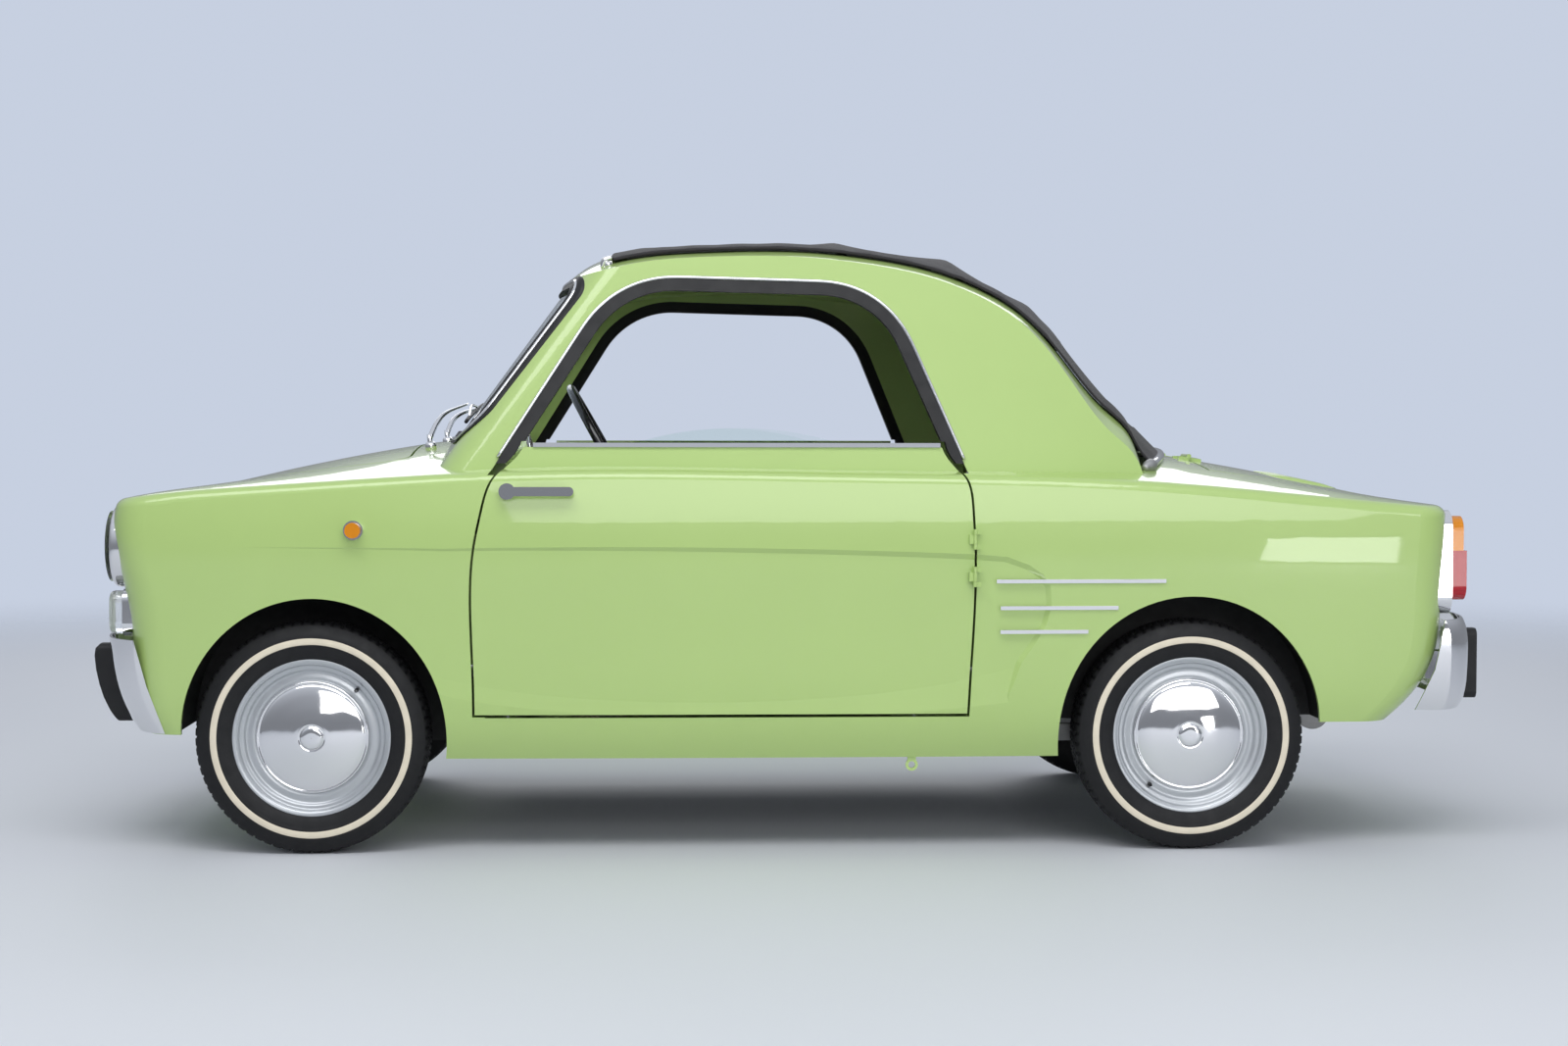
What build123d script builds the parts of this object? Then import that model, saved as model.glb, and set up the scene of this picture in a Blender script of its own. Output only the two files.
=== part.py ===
"""A 1950s rear-engined microcar with a roll-back cloth roof and rear-hinged doors.

Row frame in millimetres: +X forward, +Y to the car's left, +Z up. The origin lies on the ground,
midway between the overriders.
"""

from build123d import *
from functools import cache
import os

# ---------------------------------------------------------------- running gear
WHEELBASE = 1840
FRONT_AXLE_X = 1015
REAR_AXLE_X = FRONT_AXLE_X - WHEELBASE
TRACK_FRONT = 1121
TRACK_REAR = 1135

TYRE_RADIUS = 243
TYRE_WIDTH = 124
HUB_Z = TYRE_RADIUS
RIM_RADIUS = 164
RIM_WIDTH = 104
BARREL_RADIUS = 152
RIM_SHEET = 4
CAP_RADIUS = 117
CAP_DEPTH = 22
DISC_OFFSET = 16  # wheel disc outboard of the wheel's middle plane
BOLT_FACE_RADIUS = 60
SEAT_GAP = 0.3

KINGPIN_Y = 468
KINGPIN_RADIUS = 9
KNUCKLE_RADIUS = 19
KNUCKLE_HEIGHT = 84
SPINDLE_RADIUS = 14
DRUM_RADIUS = 92
DRUM_DEPTH = 38
DRUM_INNER = -53  # drum's open face, from the wheel's middle plane
RUNNING_FIT = 0.5

# ---------------------------------------------------------------- body
SKIN = 12  # outer panel with its folded edge
DOOR_THICKNESS = 55
PILLAR_THICKNESS = 42
PANEL_GAP = 5
GLASS = 5
SEAL_PROUD = 4
SEAL_WIDTH = 25

# lower body, seen from above at each height: z, nose x, tail x, half width
PLAN_STATIONS = [
    (150, 1345, -1150, 572),
    (200, 1368, -1215, 606),
    (262, 1392, -1288, 634),
    (380, 1412, -1385, 651),
    (500, 1420, -1406, 659),
    (645, 1448, -1412, 668),
    (740, 1442, -1410, 662),
    (880, 1405, -1400, 632),
]
NOSE_SWEEP = 30  # how far the nose panel's ends lie behind its middle
TAIL_SWEEP = 40
NOSE_WIDTH_SHARE = 0.955
TAIL_WIDTH_SHARE = 0.945
CORNER_RADIUS = 78
# The panel below the side crease is pressed in. Each corner of its outline: along the car, height,
# where the side lies there, and which way the sloping edge faces.
RECESS_DEPTH = 6
RECESS_SLOPE = 1.6
RECESS_NOSE_SHARE = 0.9665
RECESS_OUTLINE = [
    (1330, 652, 650, 0, 1),
    (742, 647, 666, 0, 1),
    (193, 641, 668, 0, 1),
    (-362, 631, 667, 0, 1),
    (-430, 626, 666, -0.2, 0.98),
    (-480, 609, 665, -0.55, 0.83),
    (-513, 588, 664, -0.8, 0.6),
    (-531, 560, 663, -0.98, 0.2),
    (-534, 520, 660, -1, 0),
    (-523, 475, 657, -0.95, -0.3),
    (-500, 435, 655, -0.86, -0.5),
    (-470, 395, 652, -0.9, -0.4),
    (-440, 330, 644, -1, 0),
    (-430, 100, 600, -1, 0),
    (1330, 100, 600, 0, 0),
]

# crown of the lower body along the car: x, z over the wings, z in the middle
CROWN_STATIONS = [
    (1520, 700, 655),
    (1300, 757, 752),
    (1028, 780, 816),
    (700, 803, 868),
    (0, 808, 880),
    (-700, 788, 848),
    (-1000, 762, 806),
    (-1300, 731, 740),
    (-1520, 706, 650),
]
WING_TOP_Y = 590
SHOULDER_RADIUS = 26

# cabin top, seen from above at each height: z, screen middle x, half width
CABIN_STATIONS = [
    (700, 873, 640),
    (862, 756, 601),
    (1010, 649, 563),
    (1160, 540, 525),
    (1340, 410, 480),
]
SCREEN_BOW = 52
SCREEN_CORNER_RADIUS = 78
SCREEN_REACH = 100  # how far the screen opening runs back from the middle of the screen
CABIN_REAR_X = -930  # past the foot of the roof
SAIL_NARROWING = 118

# roof line along the car: x, z over the side rails, z in the middle
ROOF_STATIONS = [
    (900, 960, 1000),
    (620, 1110, 1150),
    (470, 1200, 1244),
    (381, 1236, 1283),
    (195, 1257, 1299),
    (-4, 1259, 1306),
    (-165, 1243, 1296),
    (-301, 1214, 1274),
    (-398, 1176, 1243),
    (-471, 1133, 1208),
    (-560, 1045, 1135),
    (-666, 918, 1022),
    (-735, 830, 940),
    (-900, 620, 740),
]
RAIL_Y = 480

BELT_Z = 848
FRAME_FOOT_Z = 794  # screen frame and wing meet here
POST_TOP_Z = 784
RAIL_JOINT_X = 270  # screen frame and rear side frame meet here
WING_SEAM_Y = 448  # wing and nose panel, quarter and tail panel
A_POST_X = 655
SCUTTLE_X = 762
B_POST_X = -480

# ---------------------------------------------------------------- openings in the body
DOOR_FRONT_EDGE = [(576, 860), (598, 824), (638, 785), (662, 720), (680, 630), (686, 500), (681, 285)]
DOOR_REAR_EDGE = [(-302, 860), (-318, 822), (-348, 785), (-362, 714), (-367, 619), (-363, 436), (-355, 285)]
DOOR_SILL_Z = 287
DOOR_HINGE_X = -362
DOOR_HINGE_Y = 672.5
DOOR_HINGE_Z = (580, 658)
DOOR_HINGE_HALF = 21
DOOR_HINGE_LEAF = 12
DOOR_HINGE_SET_BACK = 1.5  # fixed leaves end this far behind the pin
DOOR_HINGE_DEPTH = 18
DOOR_HINGE_BARREL = 4
DOOR_HINGE_PIN = 2.2
DOOR_SWING = 70

WINDOW_CORNERS = [(648, 790), (382, 1207), (-184, 1192), (-360, 780)]
WINDOW_FRONT_RADIUS = 220
WINDOW_REAR_RADIUS = 205

SCREEN_BASE_Z = 856
SCREEN_TOP_Z = 1212
SCREEN_BASE_HALF = 576
SCREEN_TOP_HALF = 497
SCREEN_OPENING_RADIUS = 62

FRONT_LID_REAR_X = 827
FRONT_LID_FRONT_X = 1332
FRONT_LID_HALF = 436
FRONT_LID_SWING = 60
ENGINE_LID_FRONT_X = -905
ENGINE_LID_BASE_Z = 560
ENGINE_LID_HALF = 400
ENGINE_LID_SWING = 65
LID_CORNER_RADIUS = 60
HINGE_Y = 150
HINGE_WIDTH = 50
HINGE_PIN = 2.8
HINGE_BARREL = 5
HINGE_PLAY = 0.1
HINGE_FOOT = 7
FRONT_HINGE_X = FRONT_LID_FRONT_X - PANEL_GAP / 2
FRONT_HINGE_Z = 749.5
ENGINE_HINGE_X = ENGINE_LID_FRONT_X - PANEL_GAP / 2
ENGINE_HINGE_Z = 826

ROOF_OPENING_FRONT_X = 362
ROOF_OPENING_HALF = 440
HOOD_FRONT_X = 391
HOOD_HALF = 464
HOOD_THICKNESS = 7

CABIN_INSIDE_Y = 585
FLOOR_Z = 206
FLOOR_SHEET = 6
FRONT_BULKHEAD_X = 745
REAR_BULKHEAD_X = -700
HEEL_X = -480
BENCH_FLOOR_Z = 342
LUGGAGE_FLOOR_Z = 306
WHEELHOUSE_FRONT_Y = 355
WHEELHOUSE_REAR_Y = 466
TUNNEL_HALF = 105
TUNNEL_TOP_Z = 322

STEERING_WHEEL_CENTRE = (398, 300, 813)
STEERING_WHEEL_RADIUS = 194
STEERING_RAKE = 29  # column's slope
COLUMN_LENGTH = 365

SEAT_Y = 292
SEAT_WIDTH = 420
CUSHION_TOP_Z = 470
BACK_TOP_Z = 826

REAR_WINDOW_Z = 985
REAR_WINDOW_WIDTH = 620
REAR_WINDOW_HEIGHT = 190
BOW_X = [-99, -353, -548]
BOW_GAP = 1
BOW_DEPTH = 14
DOOR_GLASS_X = (-100, 355)
HANDLE_PLACE = (606, 757)

LAMP_Y = 520
LAMP_Z = 639
LAMP_RING_RADIUS = 86
LAMP_RING_WIDTH = 12
FOG_Y = 552
TAIL_LAMP_Y = 562
TAIL_LAMP_X = -1388
BUMPER_SHEET = 5
BUMPER_ROOT = 1250
# Bumper plan: share of the half width, and how far the blade has swept back there.
BUMPER_PLAN = [(0, 0), (0.42, 6), (0.8, 27), (0.925, 55), (1, 100)]
# Bumper heights, each with how far it reaches along the car and its half width.
FRONT_BUMPER = [(252, 1424, 604), (284, 1443, 609), (325, 1460, 614), (377, 1472, 619), (448, 1480, 622)]
REAR_BUMPER = [(292, 1466, 602), (320, 1477, 610), (370, 1481, 617), (430, 1481, 621), (484, 1468, 619)]
FRONT_BUMPER_END = [(1100, 500), (1394, 500), (1378, 448), (1353, 352), (1318, 252), (1300, 200), (1100, 200)]
REAR_BUMPER_END = [(-1100, 520), (-1384, 520), (-1368, 484), (-1348, 380), (-1310, 292), (-1300, 200), (-1100, 200)]
OVERRIDER_FRONT = [
    (1380, 424),
    (1494, 424),
    (1503, 414),
    (1505, 398),
    (1502, 368),
    (1495, 336),
    (1486, 308),
    (1473, 281),
    (1456, 256),
    (1380, 256),
]
OVERRIDER_Y = 380
OVERALL_HALF = 1505

ARCH_FRONT = (1010, 275, 292)  # centre x, half length, height over the hub
ARCH_REAR = (-825, 280, 294)
SILL_BASE_Z = 197
EYE_X = -238
EYE_Y = 594
EYE_Z = 180
EYE_RADIUS = 7
EYE_THICKNESS = 6
NOSE_BASE_Z = 250
TAIL_BASE_Z = 268

# ---------------------------------------------------------------- helpers


def block(x_low, x_high, y_low, y_high, z_low, z_high):
    """A plain box between two corners."""
    with BuildPart() as box:
        with Locations(((x_low + x_high) / 2, (y_low + y_high) / 2, (z_low + z_high) / 2)):
            Box(x_high - x_low, y_high - y_low, z_high - z_low)
    return box.part


def write(part, name):
    """Label a finished piece and write its STEP file."""
    part.label = name
    export_step(part, f"parts/{name}.step")


def write_pair(part, name):
    """Write a left-hand piece and its mirror image."""
    write(part, f"{name}_left")
    with BuildPart() as other:
        add(part)
        mirror(about=Plane.XZ, mode=Mode.REPLACE)
    write(other.part, f"{name}_right")


# ---------------------------------------------------------------- surfaces


def body_outline(z, nose, tail, half, inset):
    """Plan outline of the lower body at one height, moved in by inset."""
    front = nose - inset
    rear = tail + inset
    side = half - inset
    nose_y = side * NOSE_WIDTH_SHARE
    tail_y = side * TAIL_WIDTH_SHARE
    nose_x = front - NOSE_SWEEP
    tail_x = rear + TAIL_SWEEP
    with BuildSketch(Plane.XY.offset(z)) as outline:
        with BuildLine():
            ThreePointArc((nose_x, -nose_y), (front, 0), (nose_x, nose_y))
            ThreePointArc((nose_x, nose_y), (0, side), (tail_x, tail_y))
            ThreePointArc((tail_x, tail_y), (rear, 0), (tail_x, -tail_y))
            ThreePointArc((tail_x, -tail_y), (0, -side), (nose_x, -nose_y))
        make_face()
        fillet(outline.vertices(), CORNER_RADIUS - inset)
    return outline.sketch


def recess_floor():
    """Column whose sides are the floor of the pressed-in side panel, fading out at the nose."""
    with BuildPart() as column:
        for z, nose, tail, half in PLAN_STATIONS:
            side = half - RECESS_DEPTH
            nose_y = side * RECESS_NOSE_SHARE
            tail_y = side * TAIL_WIDTH_SHARE
            nose_x = nose - NOSE_SWEEP
            tail_x = tail + TAIL_SWEEP
            with BuildSketch(Plane.XY.offset(z)):
                with BuildLine():
                    ThreePointArc((nose_x, nose_y), (0, side), (tail_x, tail_y))
                    Polyline((tail_x, tail_y), (tail_x, 0), (nose_x, 0), (nose_x, nose_y))
                make_face()
        loft()
    return column.part


def recess_tool():
    """What is pressed in along the side below the crease, with sloping edges."""
    with BuildPart() as tool:
        for y in (700, 640):
            points = []
            for x, z, side_y, away_x, away_z in RECESS_OUTLINE:
                reach = (y - side_y) * RECESS_SLOPE
                points.append((x + away_x * reach, z + away_z * reach))
            with BuildSketch(Plane.XZ.offset(-y)):
                with BuildLine():
                    Polyline(*points, close=True)
                make_face()
        loft(ruled=True)
    return cut(tool.part, recess_floor())


def crown(stations, edge_y, reach_y, edge_drop, drop):
    """Everything under a crowned surface that runs along the car, lowered by drop."""
    floor_z = 100
    with BuildPart() as under:
        for x, edge_z, middle_z in stations:
            edge = edge_z - drop
            middle = middle_z - drop
            shoulder = edge + 0.5 * (middle - edge)
            section = Plane(origin=(x, 0, 0), x_dir=(0, 1, 0), z_dir=(1, 0, 0))
            with BuildSketch(section):
                with BuildLine():
                    Spline(
                        (reach_y, edge - edge_drop),
                        (edge_y, edge),
                        (edge_y * 0.7, shoulder),
                        (0, middle),
                        (-edge_y * 0.7, shoulder),
                        (-edge_y, edge),
                        (-reach_y, edge - edge_drop),
                    )
                    Polyline(
                        (-reach_y, edge - edge_drop),
                        (-reach_y, floor_z),
                        (reach_y, floor_z),
                        (reach_y, edge - edge_drop),
                    )
                make_face()
        loft()
    return under.part


def body_column(inset):
    """The lower body's sides and ends, with no crown."""
    with BuildPart() as column:
        for z, nose, tail, half in PLAN_STATIONS:
            add(body_outline(z, nose, tail, half, inset))
        loft()
    return column.part


@cache
def lower_body(inset=0):
    """The solid envelope of the lower body, moved in by inset on every side."""
    with BuildPart() as body:
        add(body_column(inset))
        add(crown(CROWN_STATIONS, WING_TOP_Y, 740, 34, inset), mode=Mode.INTERSECT)
        if inset < SHOULDER_RADIUS:
            top = body.faces().sort_by(Axis.Z)[-1]
            fillet(top.edges(), SHOULDER_RADIUS - inset)
    return body.part


def cabin_outline(z, middle, half, inset):
    """Plan outline of the cabin top at one height: screen in front, sails behind."""
    front = middle - inset
    side = half - inset
    corner_x = front - SCREEN_BOW
    corner_y = side - 6
    rear_y = side - SAIL_NARROWING
    with BuildSketch(Plane.XY.offset(z)) as outline:
        with BuildLine():
            ThreePointArc((corner_x, -corner_y), (front, 0), (corner_x, corner_y))
            Spline((corner_x, corner_y), (120, side), (-400, side - 14), (CABIN_REAR_X, rear_y))
            Line((CABIN_REAR_X, rear_y), (CABIN_REAR_X, -rear_y))
            Spline((CABIN_REAR_X, -rear_y), (-400, 14 - side), (120, -side), (corner_x, -corner_y))
        make_face()
        fillet(outline.vertices().filter_by(lambda v: v.X > 0), SCREEN_CORNER_RADIUS - inset)
    return outline.sketch


@cache
def cabin_top(inset=0):
    """The solid envelope of the cabin above the waist, moved in by inset."""
    with BuildPart() as top:
        for z, middle, half in CABIN_STATIONS:
            add(cabin_outline(z, middle, half, inset))
        loft()
        add(crown(ROOF_STATIONS, RAIL_Y, 720, 260, inset), mode=Mode.INTERSECT)
    return top.part




def envelope(lower_inset, cabin_inset):
    """Lower body and cabin together, each moved in."""
    with BuildPart() as both:
        add(lower_body(lower_inset))
        add(cabin_top(cabin_inset))
    return both.part


def shell(outside, inside):
    """The wall between two envelopes."""
    with BuildPart() as wall:
        add(outside)
        add(inside, mode=Mode.SUBTRACT)
    return wall.part


# ---------------------------------------------------------------- outlines seen from the side


def prism(outline, y_low, y_high):
    """Extrude an outline drawn in X and Z from one height of Y to another."""
    with BuildPart() as solid:
        extrude(outline.moved(Location((0, y_low, 0))), amount=y_high - y_low, dir=(0, 1, 0))
    return solid.part


def door_outline(shrink=0):
    """The door's gap line, or the door itself when shrunk."""
    front = [(x - shrink, z) for x, z in DOOR_FRONT_EDGE[:-1]]
    rear = [(x + shrink, z) for x, z in DOOR_REAR_EDGE[:-1]]
    front_foot = (DOOR_FRONT_EDGE[-1][0] - shrink, DOOR_SILL_Z + shrink)
    rear_foot = (DOOR_REAR_EDGE[-1][0] + shrink, DOOR_SILL_Z + shrink)
    with BuildSketch(Plane.XZ) as outline:
        with BuildLine():
            Spline(*front, front_foot)
            Line(front_foot, rear_foot)
            Spline(rear_foot, *reversed(rear))
            Line(rear[0], front[0])
        make_face()
    return outline.sketch


def window_outline(inset=0):
    """The side window's opening."""
    with BuildSketch(Plane.XZ) as outline:
        with BuildLine():
            Polyline(*WINDOW_CORNERS, close=True)
        make_face()
        fillet(outline.vertices().filter_by(lambda v: v.Y > 1000 and v.X > 0), WINDOW_FRONT_RADIUS)
        fillet(outline.vertices().filter_by(lambda v: v.Y > 1150 and v.X < -100), WINDOW_REAR_RADIUS)
        if inset:
            offset(amount=-inset, kind=Kind.INTERSECTION)
    return outline.sketch


def arch_outline(arch, grow=0):
    """Wheel arch: a half ellipse over the hub, open below."""
    centre_x, half_length, height = arch
    with BuildSketch(Plane.XZ) as outline:
        with Locations((centre_x, HUB_Z)):
            Ellipse(half_length + grow, height + grow)
        with Locations((centre_x, HUB_Z - 100)):
            Rectangle(2 * (half_length + grow) - 8, 200)
    return outline.sketch


def screen_outline(inset=0):
    """The windscreen's opening, seen from the front."""
    with BuildSketch(Plane.YZ) as outline:
        with BuildLine():
            Polyline(
                (-SCREEN_BASE_HALF, SCREEN_BASE_Z),
                (SCREEN_BASE_HALF, SCREEN_BASE_Z),
                (SCREEN_TOP_HALF, SCREEN_TOP_Z),
                (-SCREEN_TOP_HALF, SCREEN_TOP_Z),
                close=True,
            )
        make_face()
        fillet(outline.vertices(), SCREEN_OPENING_RADIUS)
        if inset:
            offset(amount=-inset)
    return outline.sketch


def lid_outline(x_low, x_high, half, shrink=0):
    """A lid's plan outline."""
    with BuildSketch(Plane.XY.offset(400)) as outline:
        with Locations(((x_low + x_high) / 2, 0)):
            RectangleRounded(
                x_high - x_low - 2 * shrink, 2 * (half - shrink), LID_CORNER_RADIUS - shrink
            )
    return outline.sketch


# ---------------------------------------------------------------- body panels


def region(wall, *boxes):
    """The part of a body wall that lies inside one or more boxes."""
    with BuildPart() as inside:
        for corners in boxes:
            add(block(*corners))
    with BuildPart() as panel:
        add(wall)
        add(inside.part, mode=Mode.INTERSECT)
    return panel.part


def cut(part, *tools):
    """A part with some solids taken out of it."""
    with BuildPart() as left:
        add(part)
        for tool in tools:
            add(tool, mode=Mode.SUBTRACT)
    return left.part


def keep(part, tool):
    """The part of a solid that lies inside another."""
    with BuildPart() as left:
        add(part)
        add(tool, mode=Mode.INTERSECT)
    return left.part


def band(space, outer, inner):
    """The part of a space that lies between two envelopes."""
    with BuildPart() as left:
        add(space)
        add(outer, mode=Mode.INTERSECT)
        add(inner, mode=Mode.SUBTRACT)
    return left.part


def fuse(*parts):
    """Several solids as one part."""
    with BuildPart() as whole:
        for part in parts:
            add(part)
    return whole.part


def roof_opening(lower):
    """The space that the cloth roof closes, down to the rear deck."""
    hole = block(-900, ROOF_OPENING_FRONT_X, -ROOF_OPENING_HALF, ROOF_OPENING_HALF, 700, 1400)
    return cut(hole, lower)


def body_wall(thin, lower):
    """The outer skin with doors, windows, roof, wheel arches and underside cut away."""
    sides = []
    for y_low, y_high in ((300, 900), (-900, -300)):
        sides.append(prism(window_outline(), y_low, y_high))
        sides.append(prism(door_outline(), y_low, y_high))
        for arch in (ARCH_FRONT, ARCH_REAR):
            sides.append(prism(arch_outline(arch), y_low, y_high))
    below = [
        block(-1600, REAR_AXLE_X, -900, 900, 0, TAIL_BASE_Z),
        block(FRONT_AXLE_X, 1600, -900, 900, 0, NOSE_BASE_Z),
        block(-1600, 1600, -900, 900, 0, SILL_BASE_Z),
    ]
    screen_hole = cut(screen_column(0), behind_screen())
    return cut(thin, *sides, screen_hole, roof_opening(lower), *below)


def make_wing(wall, thick, recess):
    """Front wing with the post that the door shuts against."""
    skin = region(
        wall,
        (A_POST_X, 1600, WING_SEAM_Y, 900, 0, FRAME_FOOT_Z),
        (600, A_POST_X, WING_SEAM_Y, 900, 600, FRAME_FOOT_Z),
        (SCUTTLE_X, 1600, WING_SEAM_Y, 900, 700, 900),
    )
    post = region(thick, (A_POST_X, 722, WING_SEAM_Y, 900, SILL_BASE_Z, POST_TOP_Z))
    post = cut(post, prism(door_outline(), 300, 900), prism(arch_outline(ARCH_FRONT, 18), 300, 900))
    return cut(fuse(skin, post), recess)


def make_side_frame(wall, thick, recess):
    """Roof rail, sail panel and rear quarter, pressed as one, with the rear door post."""
    skin = region(
        wall,
        (-1600, -355, WING_SEAM_Y - 18, 900, 0, 1400),
        (-360, RAIL_JOINT_X, 400, 900, 700, 1400),
    )
    post = region(
        thick,
        (B_POST_X, -355, WING_SEAM_Y - 18, 900, SILL_BASE_Z, FRAME_FOOT_Z),
        (-360, -340, WING_SEAM_Y - 18, 900, 310, FRAME_FOOT_Z),
    )
    post = cut(post, prism(door_outline(), 300, 900))
    return fuse(cut(fuse(skin, post), recess), door_hinge_fixed())


def make_sill(thick, recess):
    """Box section under the door, between wing and quarter, with a tie-down eye below it."""
    box = region(thick, (-355, A_POST_X, 400, 900, SILL_BASE_Z, DOOR_SILL_Z - PANEL_GAP / 2 + 1))
    y_low = EYE_Y - EYE_THICKNESS / 2
    y_high = EYE_Y + EYE_THICKNESS / 2
    ring = cylinder_y(EYE_RADIUS + 6, EYE_X, EYE_Z, y_low, y_high)
    tab = block(EYE_X - 9, EYE_X + 9, y_low, y_high, EYE_Z, SILL_BASE_Z)
    return cut(fuse(cut(box, recess), ring, tab), cylinder_y(EYE_RADIUS, EYE_X, EYE_Z, 0, 900))


def make_screen_frame(wall):
    """Screen pillars, header rail and scuttle."""
    return region(
        wall,
        (RAIL_JOINT_X, SCUTTLE_X, -900, 900, FRAME_FOOT_Z, 1400),
        (SCUTTLE_X, FRONT_LID_REAR_X, -WING_SEAM_Y, WING_SEAM_Y, 700, 1000),
    )


def front_lid_prism(shrink):
    """Column over the luggage lid's plan outline."""
    outline = lid_outline(FRONT_LID_REAR_X, FRONT_LID_FRONT_X, FRONT_LID_HALF, shrink)
    with BuildPart() as column:
        extrude(outline.moved(Location((0, 0, 240))), amount=400)
    return column.part


def make_nose_panel(wall, lower):
    """Front face and the frame round the luggage lid, with the lid's hinge pins."""
    nose = region(wall, (FRONT_LID_REAR_X, 1600, -WING_SEAM_Y, WING_SEAM_Y, 0, 1000))
    hinges = hinge_fixed_side(FRONT_HINGE_X, FRONT_HINGE_Z, FRONT_HINGE_X + 24, lower)
    return fuse(cut(nose, front_lid_prism(0)), hinges)


def make_front_lid(thin, lower):
    """Luggage lid in the nose, hinged along its front edge."""
    hinges = hinge_moving_side(FRONT_HINGE_X, FRONT_HINGE_Z, FRONT_HINGE_X - 30, lower)
    return fuse(keep(thin, front_lid_prism(PANEL_GAP)), hinges)


def hinge_fixed_side(x, z, leaf_x, lower):
    """The hinges' pins and their plates on the body."""
    pin = cylinder_y(HINGE_PIN, x, z, HINGE_Y - HINGE_WIDTH / 2 - 12, HINGE_Y + HINGE_WIDTH / 2 + 12)
    outer = fuse(
        cylinder_y(HINGE_BARREL, x, z, HINGE_Y - HINGE_WIDTH / 2 - 12, HINGE_Y - HINGE_WIDTH / 2 - 0.5),
        cylinder_y(HINGE_BARREL, x, z, HINGE_Y + HINGE_WIDTH / 2 + 0.5, HINGE_Y + HINGE_WIDTH / 2 + 12),
    )
    x_low, x_high = sorted((x, leaf_x))
    feet = fuse(
        block(x_low, x_high, HINGE_Y - HINGE_WIDTH / 2 - 12, HINGE_Y - HINGE_WIDTH / 2 - 0.5, z - 30, z),
        block(x_low, x_high, HINGE_Y + HINGE_WIDTH / 2 + 0.5, HINGE_Y + HINGE_WIDTH / 2 + 12, z - 30, z),
    )
    feet = band(feet, lower_body(-HINGE_FOOT), lower)
    return mirrored(cut(fuse(pin, outer, feet), lower))


def hinge_moving_side(x, z, leaf_x, lower):
    """The hinges' barrels and their plates on a lid."""
    y_low = HINGE_Y - HINGE_WIDTH / 2
    y_high = HINGE_Y + HINGE_WIDTH / 2
    x_low, x_high = sorted((x, leaf_x))
    foot = band(block(x_low, x_high, y_low, y_high, z - 30, z), lower_body(-HINGE_FOOT), lower)
    barrel = cut(cylinder_y(HINGE_BARREL, x, z, y_low, y_high), lower_body(-SEAT_GAP))
    return mirrored(cut(fuse(foot, barrel), cylinder_y(HINGE_PIN + HINGE_PLAY, x, z, 0, 900)))


def engine_lid_prism(shrink):
    """Column behind the engine lid, which wraps from the deck over to the tail."""
    half = ENGINE_LID_HALF - shrink
    return block(-1600, ENGINE_LID_FRONT_X - shrink, -half, half, ENGINE_LID_BASE_Z + shrink, 1000)


def make_rear_deck(wall, lower):
    """Panel between the foot of the cloth roof and the engine lid, with the lid's hinge pins."""
    half = WING_SEAM_Y - 18
    deck = region(wall, (ENGINE_LID_FRONT_X, -700, -half, half, 700, 1000))
    return fuse(deck, hinge_fixed_side(ENGINE_HINGE_X, ENGINE_HINGE_Z, ENGINE_HINGE_X + 24, lower))


def make_tail_panel(wall):
    """Tail below and beside the engine lid."""
    half = WING_SEAM_Y - 18
    tail = region(wall, (-1600, ENGINE_LID_FRONT_X, -half, half, 0, 1000))
    return cut(tail, engine_lid_prism(0))


def make_engine_lid(thin, lower):
    """Engine lid, hinged along its front edge."""
    hinges = hinge_moving_side(ENGINE_HINGE_X, ENGINE_HINGE_Z, ENGINE_HINGE_X - 30, lower)
    return fuse(keep(thin, engine_lid_prism(PANEL_GAP)), hinges)


def make_wheelhouse(arch, inner_y, cabin_wall):
    """Sheet tunnel over a wheel, closed on its inner side."""
    sheet = 4
    with BuildPart() as house:
        add(prism(arch_outline(arch, 18), inner_y - sheet, 660))
        add(prism(arch_outline(arch, 18 - sheet), inner_y, 700), mode=Mode.SUBTRACT)
        add(block(-1600, 1600, 0, 900, 0, SILL_BASE_Z + 10), mode=Mode.SUBTRACT)
        add(block(FRONT_AXLE_X, 1600, 0, 900, 0, NOSE_BASE_Z), mode=Mode.SUBTRACT)
        add(block(-1600, REAR_AXLE_X, 0, 900, 0, TAIL_BASE_Z), mode=Mode.SUBTRACT)
        add(cabin_wall, mode=Mode.INTERSECT)
    return house.part


# ---------------------------------------------------------------- glass, seals, cloth


def make_window_seal():
    """Rubber round the side window, down to the ends of the door's top edge."""
    ring = cut(
        prism(window_outline(), 300, 900),
        prism(window_outline(SEAL_WIDTH), 300, 900),
        prism(door_outline(-PANEL_GAP), 300, 900),
        block(-900, 900, 0, 900, 0, FRAME_FOOT_Z + 20),
    )
    return band(ring, cabin_top(-SEAL_PROUD), cabin_top(PILLAR_THICKNESS - 14))


def screen_column(inset):
    """Column through the screen opening."""
    with BuildPart() as column:
        extrude(screen_outline(inset), amount=900, dir=(1, 0, 0))
    return column.part


def behind_screen():
    """Everything behind a slope that rises just behind the screen's corners."""
    low_z, low_x, _ = CABIN_STATIONS[0]
    high_z, high_x, _ = CABIN_STATIONS[-1]
    with BuildPart() as wedge:
        with BuildSketch(Plane.XZ):
            with BuildLine():
                Polyline(
                    (low_x - SCREEN_REACH, low_z),
                    (high_x - SCREEN_REACH, high_z),
                    (-100, high_z),
                    (-100, low_z),
                    close=True,
                )
            make_face()
        extrude(amount=900, both=True)
    return wedge.part


def make_screen_seal():
    """Rubber round the windscreen."""
    ring = cut(screen_column(0), screen_column(SEAL_WIDTH))
    seal = band(ring, cabin_top(-SEAL_PROUD), cabin_top(PILLAR_THICKNESS / 2))
    return cut(seal, behind_screen())


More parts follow.
